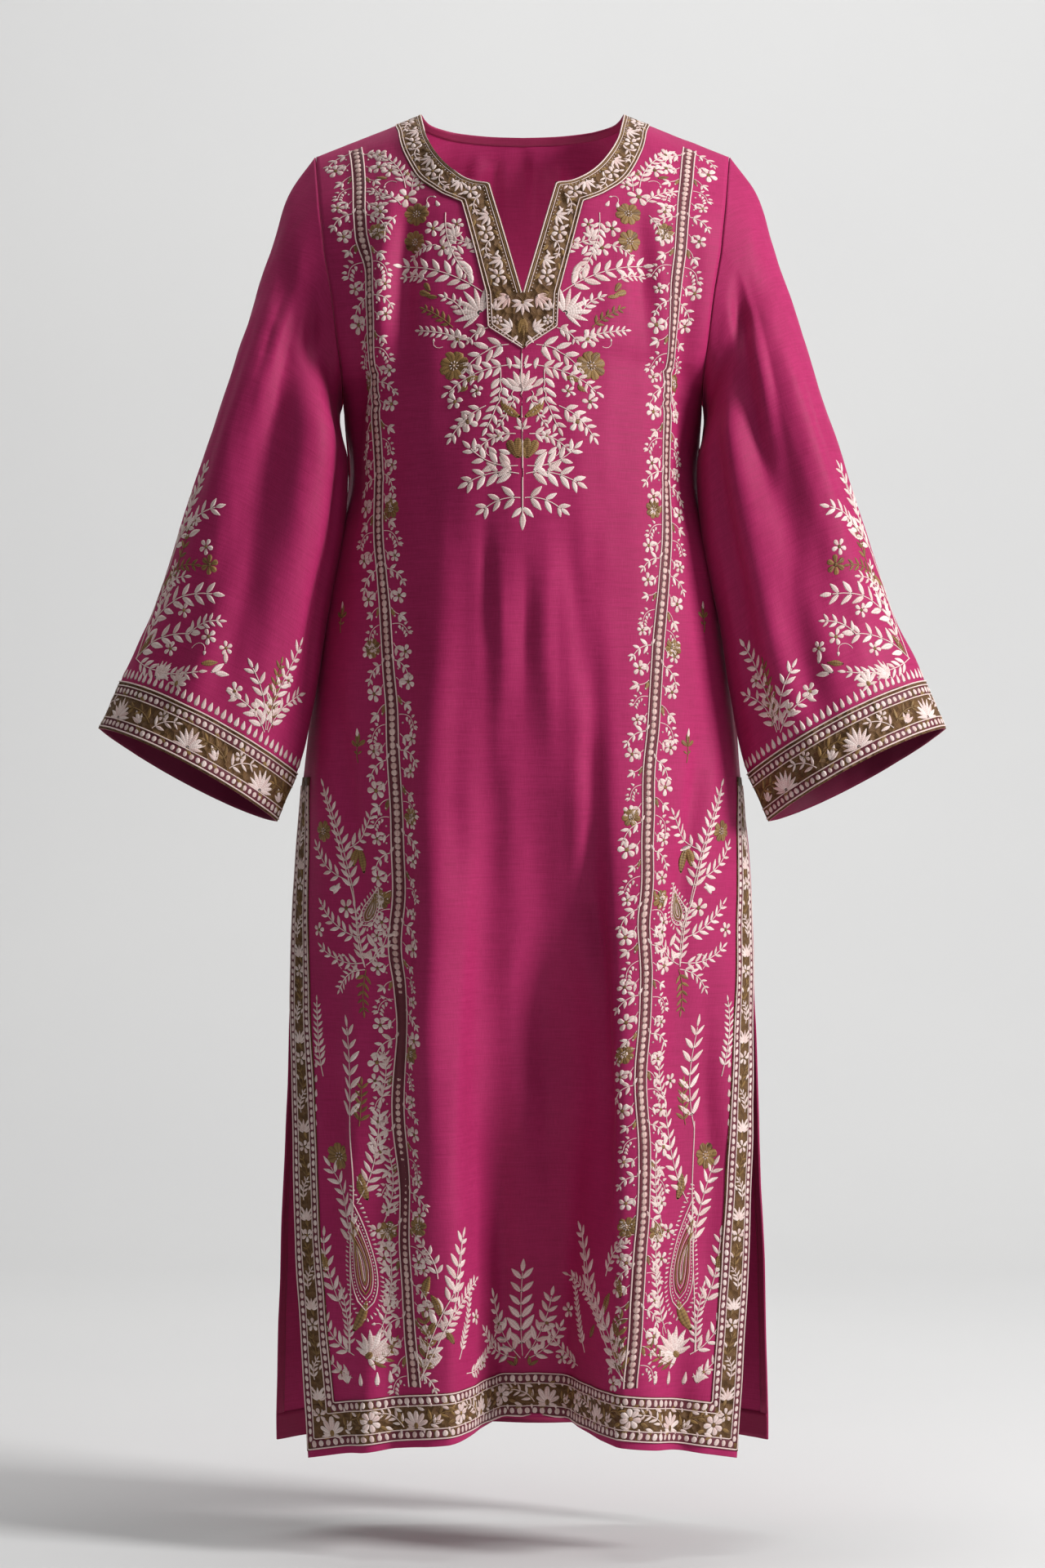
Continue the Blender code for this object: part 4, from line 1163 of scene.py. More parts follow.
Floss = namedtuple("Floss", "name light deep roughness sheen_tint")
THREADS = {floss.name: thread_material(f"{floss.name} floss", linear(*floss.light), linear(*floss.deep),
                                       floss.roughness, floss.sheen_tint)
           for floss in (
               Floss("cream", (250, 238, 232), (206, 170, 164), 0.5, (255, 240, 235)),
               Floss("olive", (172, 136, 82), (88, 60, 34), 0.45, (235, 220, 160)),
               Floss("blush", (244, 218, 210), (196, 150, 144), 0.55, (255, 230, 220)),
               Floss("umber", (122, 56, 66), (88, 34, 46), 0.6, (220, 190, 180)))}
print("threads:", ", ".join(THREADS))

# %% Drawing on the flat pattern
PLAIN = WALL / 2 - 0.0001                       # where a stitch's underside lies on plain cloth
ON_STRIP = STRIP_LIFT + STRIP / 2 - 0.0001      # and where it lies on a border's ground
chance = random.Random(11)


class Work:
    """The embroidery of one region, in millimetres on the flat pattern.

    A motif is drawn once for the +X half. A hand of -1 mirrors what is drawn.
    """

    def __init__(self, name, sheet):
        self.name, self.sheet, self.hand, self.base = name, sheet, 1, PLAIN
        self.drawings = {}

    def spot(self, x, z):
        """The flat place under a point x to the side and z up, seen from the front."""
        u, v = self.sheet.lay(self.hand * x, z)
        return (self.hand * u, v)

    def both(self):
        """Both hands in turn, so that what is drawn once for each lies on both halves."""
        for self.hand in (1, -1):
            yield self.hand
        self.hand = 1

    def line(self, places, step=6.0):
        """A smooth flat curve through places seen from the front."""
        return smooth_path([self.spot(x, z) for x, z in places], step)

    def drawing(self, thread):
        return self.drawings.setdefault(thread, {
            "points": [], "edges": [], "faces": [], "angle": [], "size": [], "shape": [],
            "radius": [], "shade": []})

    def add(self, thread, at, height, shape, angle=0.0, size=(0, 0, 0), radius=0.0, shade=0.5):
        drawing = self.drawing(thread)
        drawing["points"].append((self.hand * at[0] * MM, at[1] * MM, height))
        drawing["shape"].append(shape)
        drawing["angle"].append(angle if self.hand > 0 else math.pi - angle)
        drawing["size"].append(size)
        drawing["radius"].append(radius)
        drawing["shade"].append(shade)
        return len(drawing["points"]) - 1

    def stitch(self, thread, shape, at, angle, length, width, rise=0.7):
        """A padded shape that starts at a place and points at an angle in degrees, 90 up."""
        if self.hand < 0:
            shape = {"sickle": "scythe", "scythe": "sickle"}.get(shape, shape)
        self.add(thread, at, self.base, SHAPE_NUMBER[shape], math.radians(angle),
                 (length * MM, width * MM, rise * MM), shade=chance.random())

    def cord(self, thread, path, thickness=0.7):
        """A laid cord along a path."""
        radius = thickness * MM / 2
        numbers = [self.add(thread, at, self.base + radius * 0.6, CORD, radius=radius, shade=0.7)
                   for at in path]
        self.drawing(thread)["edges"] += list(zip(numbers, numbers[1:]))

    def ribbon(self, thread, path, width, rise=0.25):
        """A flat ground of close stitches along a path: a low box section that bends with the cloth."""
        sections = []
        for at, (nx, ny) in zip(path, path_normals(path)):
            section = []
            for offset, height in ((-1, -.2), (-1, 1), (-.5, 1), (0, 1), (.5, 1), (1, 1), (1, -.2)):
                spot = (at[0] + nx * offset * width / 2, at[1] + ny * offset * width / 2)
                section.append(self.add(thread, spot, self.base + height * rise * MM, RIBBON, shade=0.5))
            sections.append(section)
        faces = self.drawing(thread)["faces"]
        for a, b in zip(sections, sections[1:]):
            faces += [(a[n - 1], a[n], b[n], b[n - 1])[::self.hand] for n in range(len(a))]
        faces.append(tuple(sections[0])[::-self.hand])
        faces.append(tuple(sections[-1])[::self.hand])

    def finish(self):
        """Lays each thread's drawing on the cloth as one piece."""
        for thread, drawing in self.drawings.items():
            lay(f"{self.name}_{thread}", drawing, self.sheet, thread)

# %% Laying a drawing on the cloth
carriers = {}
laid = {}       # the finished embroidery on each sheet


CORD_STEP = 0.0026      # metres between the sections of a cord


def lay(name, drawing, sheet, thread):
    """One thread's drawing as a finished piece on the cloth."""
    mesh = mesh_of(name, drawing["points"], drawing["faces"], drawing["edges"])
    for field, kind in (("angle", "FLOAT"), ("radius", "FLOAT"), ("shade", "FLOAT"), ("shape", "INT")):
        mesh.attributes.new(field, kind, "POINT").data.foreach_set("value", drawing[field])
    flat_size = [value for size in drawing["size"] for value in size]
    mesh.attributes.new("size", "FLOAT_VECTOR", "POINT").data.foreach_set("vector", flat_size)
    piece = put(name, mesh)
    if id(sheet) not in carriers:
        carriers[id(sheet)] = carrier(f"carrier {len(carriers)}", sheet)
    maker = piece.modifiers.new("Lay", "NODES")
    maker.node_group = lay_stitches
    wanted = {"Cloth": carriers[id(sheet)], "Cord step": CORD_STEP, "Thread": THREADS[thread]}
    for item in lay_stitches.interface.items_tree:
        if item.name in wanted:
            maker[item.identifier] = wanted[item.name]
    flatten_modifiers(piece)
    for spare in ("angle", "size", "shape", "radius"):
        if spare in piece.data.attributes:
            piece.data.attributes.remove(piece.data.attributes[spare])
    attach(piece, "root")
    laid.setdefault(id(sheet), []).append(piece)
    triangles = sum(len(face.vertices) - 2 for face in piece.data.polygons)
    print(f"{name}: {len(drawing['points'])} points, {triangles} triangles")

# %% Paths
def toward(at, angle, distance):
    turn = math.radians(angle)
    return (at[0] + distance * math.cos(turn), at[1] + distance * math.sin(turn))


def bearing(a, b):
    return math.degrees(math.atan2(b[1] - a[1], b[0] - a[0]))


BOW_PLACES = 9


def bowed(start, end, bow=0.12):
    """A path from start to end that bows to its left by a share of its length."""
    dx, dy = end[0] - start[0], end[1] - start[1]
    middle = ((start[0] + end[0]) / 2 - dy * bow * 2, (start[1] + end[1]) / 2 + dx * bow * 2)
    path = []
    for n in range(BOW_PLACES):
        t = n / (BOW_PLACES - 1)
        path.append(tuple((1 - t) ** 2 * start[k] + 2 * t * (1 - t) * middle[k] + t * t * end[k]
                          for k in (0, 1)))
    return path


def path_lengths(path):
    run = [0.0]
    for a, b in zip(path, path[1:]):
        run.append(run[-1] + math.dist(a, b))
    return run


def along(path, distance):
    """The place and the bearing at a distance along a path."""
    run = path_lengths(path)
    distance = min(max(distance, 0.0), run[-1])
    n = 0
    while n < len(path) - 2 and run[n + 1] < distance:
        n += 1
    share = (distance - run[n]) / max(run[n + 1] - run[n], 1e-9)
    a, b = path[n], path[n + 1]
    return (a[0] + (b[0] - a[0]) * share, a[1] + (b[1] - a[1]) * share), bearing(a, b)


def spaced(path, count):
    """The number, place and bearing of a count of even places along a path."""
    total = path_lengths(path)[-1]
    for n in range(count):
        yield n, *along(path, (n + 0.5) * total / count)


def smooth_path(points, step):
    """A curve through the points, with places about a step apart."""
    path = []
    for n in range(len(points) - 1):
        p0, p1, p2, p3 = points[max(n - 1, 0)], points[n], points[n + 1], points[min(n + 2, len(points) - 1)]
        count = max(2, round(math.dist(p1, p2) / step))
        for k in range(count):
            t = k / count
            path.append(tuple(0.5 * (2 * p1[c] + (p2[c] - p0[c]) * t
                                     + (2 * p0[c] - 5 * p1[c] + 4 * p2[c] - p3[c]) * t * t
                                     + (3 * p1[c] - p0[c] - 3 * p2[c] + p3[c]) * t ** 3) for c in (0, 1)))
    return path + [points[-1]]


def path_normals(path):
    """Unit vectors to the left of a path, at each of its places."""
    normals = []
    for n in range(len(path)):
        a, b = path[max(n - 1, 0)], path[min(n + 1, len(path) - 1)]
        size = math.dist(a, b) or 1.0
        normals.append((-(b[1] - a[1]) / size, (b[0] - a[0]) / size))
    return normals


def beside(path, distance):
    """The path moved to its left by a distance."""
    return [(x + nx * distance, y + ny * distance) for (x, y), (nx, ny) in zip(path, path_normals(path))]

# %% [markdown]
# ## The motifs
#
# The design has few kinds of motif, as hand embroidery does: leafy stems, flowers, rosettes,
# fans of petals, curled tendrils, rows of beads, and the curved drop that is called a paisley.
# Each is a small function here. Sizes vary a little from stitch to stitch, from one fixed
# seed, so that no two leaves are quite alike.

# %% Stems, flowers and fans
CROWDING = 0.52                         # spacing of a stem's leaf pairs, in leaf lengths
FIRST_PAIR, LAST_PAIR = 0.14, 0.92      # where the pairs start and end, as shares of the stem
TIP_SIZE = 0.66                         # the last leaf against the first


def leafy(work, thread, start, end, length, bow=0.1, spread=44, width=0.33):
    """A stem with pairs of leaves that grow smaller to its tip, and one leaf at the end."""
    path = bowed(start, end, bow)
    work.cord(thread, path, 0.9)
    total = path_lengths(path)[-1]
    pairs = max(2, round(total * (LAST_PAIR - FIRST_PAIR) / (length * CROWDING)))
    for n in range(pairs):
        share = FIRST_PAIR + (LAST_PAIR - FIRST_PAIR) * n / (pairs - 1)
        at, angle = along(path, share * total)
        for side in (1, -1):
            size = length * (1 - (1 - TIP_SIZE) * share) * chance.uniform(0.9, 1.1)
            lean = spread * chance.uniform(0.88, 1.12)
            work.stitch(thread, "leaf", at, angle + side * lean, size, size * width)
    tip = length * TIP_SIZE
    work.stitch(thread, "leaf", path[-1], bearing(path[-2], path[-1]), tip, tip * width)


def flower(work, thread, at, radius, petals=5, turn=90, centre="olive", width=0.62):
    for n in range(petals):
        angle = turn + 360 * n / petals + chance.uniform(-5, 5)
        work.stitch(thread, "petal", toward(at, angle, radius * 0.14), angle, radius * 0.88, radius * width)
    dot(work, centre, at, radius * 0.46)


def dot(work, thread, at, size, rise=1.0):
    work.stitch(thread, "bead", toward(at, 180, size / 2), 0, size, size, rise)


def rosette(work, at, radius, petals):
    """A broad olive flower with a ring of fine cream stitches in its middle."""
    flower(work, "olive", at, radius, petals, chance.uniform(0, 40), "olive", 0.72)
    for n in range(petals):
        angle = 360 * n / petals
        work.stitch("cream", "bead", toward(at, angle, radius * 0.16), angle, radius * 0.2, radius * 0.09, 1.2)
    dot(work, "cream", at, radius * 0.2, 1.4)


def fan(work, thread, at, angle, count, spread, length, width=0.34, shape="leaf", ease=0.25):
    """Leaves that spread from one place; the outer ones are shorter."""
    for n in range(count):
        share = 2 * n / (count - 1) - 1 if count > 1 else 0.0
        size = length * (1 - ease * share * share) * chance.uniform(0.93, 1.07)
        work.stitch(thread, shape, at, angle + share * spread / 2, size, size * width)


def tendril(work, start, angle, length, curl, bud):
    """A thin curled cream stem that ends in a bud."""
    path, at, heading_now = [start], start, angle
    for n in range(8):
        heading_now += curl / 8 * (0.5 + n / 7)
        at = toward(at, heading_now, length / 8)
        path.append(at)
    work.cord("cream", path, 0.6)
    work.stitch("cream", "drop", at, heading_now, bud * 1.5, bud)

# %% Rows, paisleys and sprigs
def beads(work, thread, path, pitch, length, width, shape="bead", turn=90, jitter=8):
    """Beads at an even pitch along a path, each at a turn from its run."""
    for _, at, angle in spaced(path, int(path_lengths(path)[-1] / pitch)):
        size = length * chance.uniform(0.88, 1.1)
        lean = angle + turn + chance.uniform(-jitter, jitter)
        work.stitch(thread, shape, toward(at, lean, -size / 2), lean, size, width * chance.uniform(0.85, 1.1))


def lotus(work, at, angle, size):
    """A half-open flower: a fan of petals over two small leaves and a base."""
    fan(work, "cream", at, angle, 5, 120, size * 0.72, 0.36, "petal", 0.2)
    for side in (1, -1):
        work.stitch("cream", "leaf", at, angle + side * 105, size * 0.46, size * 0.17)
    work.stitch("olive", "bead", toward(at, angle, -size * 0.1), angle, size * 0.3, size * 0.24, 1.1)


def paisley(work, at, angle, length, curve, broad=0.12):
    """A curved drop: rows of cord inside one another, a beaded rim and a fringe of small drops."""
    def outline(scale, count=26):
        path = []
        for n in range(count + 1):
            t = n / count
            s = 1 - abs(2 * t - 1)
            side = 1 if t < 0.5 else -1
            half = length * broad * math.sin(math.pi * s ** 0.62) * scale
            reach = length * (0.44 + (s - 0.44) * (0.35 + 0.65 * scale))
            bend = length * curve * s * s * s
            turn = math.radians(angle)
            x, y = reach, side * half + bend
            path.append((at[0] + x * math.cos(turn) - y * math.sin(turn),
                         at[1] + x * math.sin(turn) + y * math.cos(turn)))
        return path

    for scale, thread, size in ((1.0, "cream", 1.1), (0.66, "cream", 0.8), (0.5, "olive", 1.3),
                                (0.34, "cream", 0.7), (0.2, "olive", 1.3), (0.08, "cream", 0.8)):
        work.cord(thread, outline(scale), size)
    beads(work, "cream", outline(0.83, 40), 3.0, 2.0, 1.5, "bead", 0)
    beads(work, "cream", outline(1.34, 40), 4.2, 4.4, 2.0, "drop", -70, 16)


def sprigs(work, path, side, pitch, reach, first=0.0):
    """Small sprigs along one side of a path: twigs, flowers, buds and pairs of leaves in turn."""
    total = path_lengths(path)[-1]
    number, distance = 0, first + pitch * 0.4
    while distance < total - pitch * 0.3:
        at, angle = along(path, distance)
        out = angle + side * chance.uniform(38, 62)
        size = reach * chance.uniform(0.86, 1.14)
        kind = number % 5
        if kind == 0:
            leafy(work, "cream", at, toward(at, out, size), size * 0.46, 0.14 * side, 46, width=0.44)
            work.stitch("cream", "leaf", at, angle - side * 150, size * 0.36, size * 0.15)
        elif kind == 3:
            stem = bowed(at, toward(at, out, size * 0.9), 0.2 * side)
            work.cord("cream", stem, 0.7)
            for share in (0.3, 0.55, 0.8, 1.0):
                spot, way = along(stem, share * size)
                for lean in (-58, 58):
                    work.stitch("cream", "drop", toward(spot, way + lean, 1.6), way + lean,
                                size * .24, size * .15)
            work.stitch("cream", "drop", stem[-1], out, size * 0.3, size * 0.16)
        elif kind in (1, 4):
            end = toward(at, out + side * 10, size * 0.66)
            work.cord("cream", bowed(at, end, -0.14 * side), 0.7)
            radius = size * (0.40 if kind == 1 else 0.32)
            flower(work, "cream", end, radius, 5, chance.uniform(0, 70), width=0.68)
            for lean in (-46, 34):
                work.stitch("cream", "leaf", along(bowed(at, end), size * 0.2)[0], out + side * lean,
                            size * .42, size * .17)
        else:
            end = toward(at, out, size * 0.5)
            work.cord("cream", bowed(at, end, 0.1), 0.7)
            fan(work, "cream", end, out, 3, 96, size * 0.5, 0.4)
            work.stitch("olive", "leaf", at, angle + side * 16, size * 0.5, size * 0.2)
        dot(work, "cream", toward(at, angle + side * 20, pitch * 0.52), 2.0)
        number += 1
        distance += pitch * chance.uniform(0.9, 1.1)

# %% Sprays from tables
Branch = namedtuple("Branch", "x z tip_x tip_z length bow thread")
Leaf = namedtuple("Leaf", "thread shape x z angle length width")


def spray(work, branches, leaves, width, rise=0.7):
    """Leafy stems and loose leaves; width is a leaf's share of its length, or a rule that gives it.

    A stem on the middle line is drawn for one hand only.
    """
    for branch in branches:
        if branch.x or work.hand > 0:
            leafy(work, branch.thread, work.spot(branch.x, branch.z), work.spot(branch.tip_x, branch.tip_z),
                  branch.length, branch.bow, width=width(branch) if callable(width) else width)
    for leaf in leaves:
        work.stitch(leaf.thread, leaf.shape, work.spot(leaf.x, leaf.z), leaf.angle, leaf.length,
                    leaf.width, rise)


def flowers(work, places):
    """Cream flowers at places given as x, z and radius."""
    for x, z, radius in places:
        flower(work, "cream", work.spot(x, z), radius, 5, chance.uniform(0, 70))


def rosettes(work, places, petals):
    for x, z, radius in places:
        rosette(work, work.spot(x, z), radius, petals)


def tendrils(work, places, bud):
    """Tendrils at places given as x, z, angle, length and curl."""
    for x, z, angle, length, curl in places:
        tendril(work, work.spot(x, z), angle, length, curl, bud)

# %% [markdown]
# ## Neck border
#
# The border runs round the neck and down both sides of the notch, with mitred corners, and
# ends in a small shield. Its lines keep an even share of the way from the neck edge to the
# border's own edge. Cream cords edge it, and flowers and leaves fill the olive ground. The
# strip's columns already run this way, so a line is read from the flat places of a column.

# %% Neck border
def front_line(column, first, last, step=1):
    """The flat line, in mm, of a column of the +X half, from one row to another."""
    low = math.floor(column)
    share = column - low
    line = []
    for i in range(first, last + 1, step):
        a = front.flat[(1, i, low)]
        b = front.flat[(1, i, min(low + 1, front.width))]
        line.append(tuple((a[k] + (b[k] - a[k]) * share) / MM for k in (0, 1)))
    return line


notch_foot = front_at["notch foot"]
neck_work = Work("neck_stitches", front)
neck_work.base = ON_STRIP
for _ in neck_work.both():
    for column, last, size in ((0.35, notch_foot, 1.3), (1.5, notch_foot, 0.7), (8.6, shield, 0.9),
                               (9.7, shield, 1.1)):
        neck_work.cord("cream", front_line(column, 1, last), size)
    neck_work.cord("olive", front_line(0.95, 1, notch_foot), 0.9)
    beads(neck_work, "cream", front_line(2.2, 2, notch_foot), 3.4, 1.5, 1.0)
    middle = smooth_path(front_line(5.3, 2, notch_foot, 3), 6.0)
    total = path_lengths(middle)[-1]
    distance, number = 6.0, 0
    while distance < total - 5:
        at, angle = along(middle, distance)
        if number % 3 == 0:
            flower(neck_work, "cream", at, 7.2, 5, angle + 20)
        elif number % 3 == 1:
            start = toward(at, angle + 200, 7)
            leafy(neck_work, "cream", start, toward(at, angle + 30, 8), 7.4, 0.2, 50)
        else:
            fan(neck_work, "cream", toward(at, angle - 90, 7), angle + 84, 5, 130, 12.5, 0.28)
        for side in (1, -1):
            edge = toward(at, angle + side * 96, 6.4)
            neck_work.stitch("olive", "leaf", edge, angle + side * 22, 8.5, 3.8, 0.6)
            neck_work.stitch("cream", "sickle" if side > 0 else "scythe", toward(edge, angle, 5.5),
                             angle - side * 46, 6.6, 2.6)
        distance += 14.5
        number += 1

# The shield: a star flower below the notch, a pointed olive leaf and satin blocks either side
star = neck_work.spot(0, -184)
for n in range(7):
    neck_work.stitch("cream", "leaf", star, 270 + (n - 3) * 34, 12 - abs(n - 3) * 0.6, 3.8, 0.9)
dot(neck_work, "olive", star, 3.2)
for angle in (255, 270, 285):
    neck_work.stitch("olive", "leaf", neck_work.spot(0, -197), angle, 20 - abs(angle - 270) * 0.3, 6.5, 0.9)
for _ in neck_work.both():
    fan(neck_work, "blush", neck_work.spot(12, -178), 320, 5, 96, 15, 0.3)
    fan(neck_work, "cream", neck_work.spot(25, -190), 120, 4, 110, 10, 0.36)
    fan(neck_work, "cream", neck_work.spot(9, -207), 20, 5, 110, 13, 0.3)
    fan(neck_work, "olive", neck_work.spot(24, -176), 200, 3, 80, 9, 0.4)
    neck_work.stitch("cream", "leaf", neck_work.spot(4, -213), 310, 9, 3.4)
    flower(neck_work, "cream", neck_work.spot(22, -199), 4.6, 6)
    beads(neck_work, "cream", beside(front_line(9.9, notch_foot, shield), -2.2), 3.2, 1.5, 1.4)
neck_work.finish()

# %% [markdown]
# ## Yoke
#
# Below the neck border a large spray fills the chest and narrows to a point on the middle
# line. It is the same on both sides, like a reflection. The places are given in millimetres
# to the side and up, as seen from the front, and each is looked up on the cloth before the
# motif is drawn, so the spray keeps its outline where the chest slopes.

# %% Yoke spray
yoke = Work("yoke_stitches", front)
YOKE_BRANCHES = [Branch(*line) for line in (
    (35, -174, 106, -148, 17, .08, "cream"), (61, -205, 86, -188, 9, .05, "olive"),
    (48, -217, 90, -207, 10, .04, "cream"), (12, -221, 48, -240, 17, .12, "cream"),
    (10, -239, 64, -262, 13.5, .08, "cream"), (19, -243, 31, -294, 14.5, -.08, "cream"),
    (32, -275, 62, -302, 13, .08, "cream"), (4, -328, 45, -313, 17, -.12, "cream"),
    (3, -335, 47, -342, 18, .10, "cream"), (2, -356, 33, -365, 16, .10, "cream"),
    (68, -101, 47, -160, 10.5, .10, "cream"), (36, -140, 60, -126, 9, .10, "cream"),
    (50, -197, 68, -178, 11, .12, "cream"), (6, -300, 38, -312, 10.5, .12, "cream"),
    (8, -262, 19, -290, 9.5, -.10, "cream"), (30, -206, 46, -216, 10, .10, "cream"),
    (84, -162, 104, -158, 9, .10, "cream"), (76, -130, 96, -140, 8.5, .10, "cream"),
    (98, -80, 82, -46, 10, -.12, "cream"), (104, -76, 132, -40, 10.5, .12, "cream"),
    (108, -92, 134, -78, 10, .10, "cream"), (112, -102, 122, -122, 9, .10, "cream"),
)]
YOKE_LEAVES = [Leaf(*line) for line in (
    ("cream", "leaf", 44, -160, 62, 18, 7.0), ("cream", "leaf", 47, -151, 30, 13, 5.4),
    ("olive", "petal", 80, -176, 20, 13, 7.0), ("olive", "petal", 81, -173, 60, 11, 6.0),
    ("olive", "leaf", 74, -178, 8, 12, 4.6), ("cream", "leaf", 36, -203, 290, 12, 5.0),
    ("olive", "sickle", 36, -250, 345, 17, 6.0), ("olive", "scythe", 48, -256, 330, 12, 5.0),
    ("cream", "leaf", 66, -140, 130, 11, 4.6), ("cream", "leaf", 52, -140, 60, 11, 4.6),
    ("cream", "scythe", 14, -232, 250, 12, 4.8), ("cream", "leaf", 22, -318, 40, 11, 4.6),
    ("cream", "leaf", 10, -318, 20, 12, 4.8), ("olive", "leaf", 100, -66, 60, 12, 4.6),
    ("cream", "leaf", 118, -90, 350, 11, 4.6), ("olive", "leaf", 120, -66, 20, 12, 4.6),
    ("cream", "drop", 84, -96, 90, 7, 4.0), ("cream", "drop", 74, -95, 70, 8, 4.4),
)]
YOKE_FLOWERS = ((57, -216, 9), (59, -271, 7.5), (48, -289, 9.5), (79, -115, 8), (70, -133, 8.5),
                (44, -128, 7.5), (21, -302, 6), (103, -85, 11), (88, -56, 8), (118, -58, 8.5),
                (128, -42, 7.5), (92, -74, 6.5), (126, -98, 7), (40, -262, 6), (58, -112, 6.5))
for _ in yoke.both():
    spray(yoke, YOKE_BRANCHES, YOKE_LEAVES, 0.41)
    fan(yoke, "cream", yoke.spot(37, -193), 42, 8, 165, 27, 0.22)
    fan(yoke, "cream", yoke.spot(60, -124), 80, 5, 130, 12, 0.4)
    rosettes(yoke, ((93.5, -101, 12.0), (94.6, -126, 11.0), (60, -239, 13.5)), 8)
    flowers(yoke, YOKE_FLOWERS)
    tendrils(yoke, ((84, -92, 60, 12, 140), (70, -222, 330, 12, 130), (26, -320, 0, 12, 120),
                    (112, -70, 40, 14, -120)), 2.2)
    yoke.stitch("olive", "scythe", yoke.spot(1, -286), 38, 26, 8.5, 0.9)
    for angle in (62, 90, 118):
        yoke.stitch("olive", "petal", yoke.spot(4, -322), angle, 19, 9.0, 0.9)
yoke.cord("cream", yoke.line([(0, z) for z in (-224, -260, -300, -340, -372)]), 1.2)
for z, count, length in ((-262, 7, 21), (-242, 5, 15)):
    fan(yoke, "cream", yoke.spot(0, z), 90, count, 150, length, 0.34)
fan(yoke, "cream", yoke.spot(0, -296), 90, 4, 150, 12, 0.36)
yoke.stitch("cream", "leaf", yoke.spot(0, -368), 270, 17, 6.4)
for angle in (225, 315):
    yoke.stitch("cream", "leaf", yoke.spot(0, -364), angle, 14, 5.6)
yoke.finish()

# %% [markdown]
# ## Bands down the panels
#
# Two narrow bands run from the shoulders to the hem, where a dressmaker would put the
# panels' seams. Each is a row of long beads on an umber ground between two cords, with small
# sprigs growing from both sides and olive rosettes here and there.

# %% Long bands
BAND_LINE = ((150.5, -34), (146, -70), (140, -130), (134, -200), (127, -348), (119, -491), (110.5, -635),
             (108.5, -780), (107, -925), (101, -1050), (96, -1118), (94.5, -1136))
ROSETTES = (-117, -251, -363, -484, -637, -707, -842, -1000)
bands = Work("band_stitches", front)
for _ in bands.both():
    line = bands.line(BAND_LINE, 5.0)
    bands.ribbon("umber", line, 10.5)
    for edge in (-5.6, 5.6):
        bands.cord("cream", beside(line, edge), 1.3)
    bands.base = PLAIN + 0.00025
    beads(bands, "blush", line, 6.0, 6.0, 5.6, "bead", 0, 14)
    bands.base = PLAIN
    sprigs(bands, beside(line, 7.0), 1, 16.5, 20.0)
    sprigs(bands, beside(line, -7.0), -1, 16.0, 19.0, 8.0)
    for number, z in enumerate(ROSETTES):
        way = 1 if number % 2 else -1
        near = min(line, key=lambda at: abs(at[1] - bands.spot(112, z)[1]))
        rosette(bands, (near[0] + way * 16.0, near[1]), 9.0, 7)
bands.finish()

# %% [markdown]
# ## Hem and slits
#
# The hem border and the slit borders are one frame: four cords run down one slit, turn the
# corner at the hem as nested right angles, cross the hem and run up the other slit. Between
# the outer two pairs are rows of beads, and the wide middle is filled with flowers and
# leaves on the olive ground.

# %% Frame of the skirt
def skirt_line(from_edge, above_hem):
    """A flat line down the -X slit, across the hem and up the +X slit, in mm."""
    hem = {}
    for side in (1, -1):
        for j in range(front.width + 1):
            u, v = front.flat[(side, hem_foot, j)]
            hem[u / MM] = v / MM
    stations = sorted(hem.items())

    def hem_height(u):
        for (u0, v0), (u1, v1) in zip(stations, stations[1:]):
            if u0 <= u <= u1:
                return v0 + (v1 - v0) * (u - u0) / (u1 - u0 or 1)
        return stations[0][1] if u < 0 else stations[-1][1]

    sides = {}
    for side in (1, -1):
        line = []
        for i in range(slit_top + 1, hem_foot + 1):
            u, v = front.flat[(side, i, front.width)]
            x = u / MM - side * from_edge
            if v / MM > hem_height(x) + above_hem:
                line.append((x, v / MM))
        sides[side] = line
    left, right = sides[-1], sides[1]
    corner_left = left[-1][0] + 0.2
    corner_right = right[-1][0] - 0.2
    count = 90
    across_hem = [(corner_left + (corner_right - corner_left) * n / count, 0) for n in range(count + 1)]
    across_hem = [(u, hem_height(u) + above_hem) for u, _ in across_hem]
    return left, across_hem, right[::-1]


skirt_frame = Work("frame_stitches", front)
skirt_frame.base = ON_STRIP
for from_edge, above_hem, size in ((1.0, 0.9, 1.2), (8.0, 9.6, 1.0), (21.6, 30.4, 1.0), (28.6, 39.2, 1.2)):
    left, across_hem, right = skirt_line(from_edge, above_hem)
    skirt_frame.cord("cream", left + across_hem + right, size)
for from_edge, above_hem, tall in ((4.5, 5.2, 6.6), (25.1, 34.8, 6.6)):
    left, across_hem, right = skirt_line(from_edge, above_hem)
    skirt_frame.ribbon("umber", across_hem, 8.0, 0.2)
    beads(skirt_frame, "cream", across_hem, 6.8, tall, 5.5, "bead", 90, 18)
    for line in (left, right):
        skirt_frame.ribbon("umber", line, 6.4, 0.2)
        beads(skirt_frame, "cream", line, 6.6, 5.9, 4.4, "bead", 0, 14)

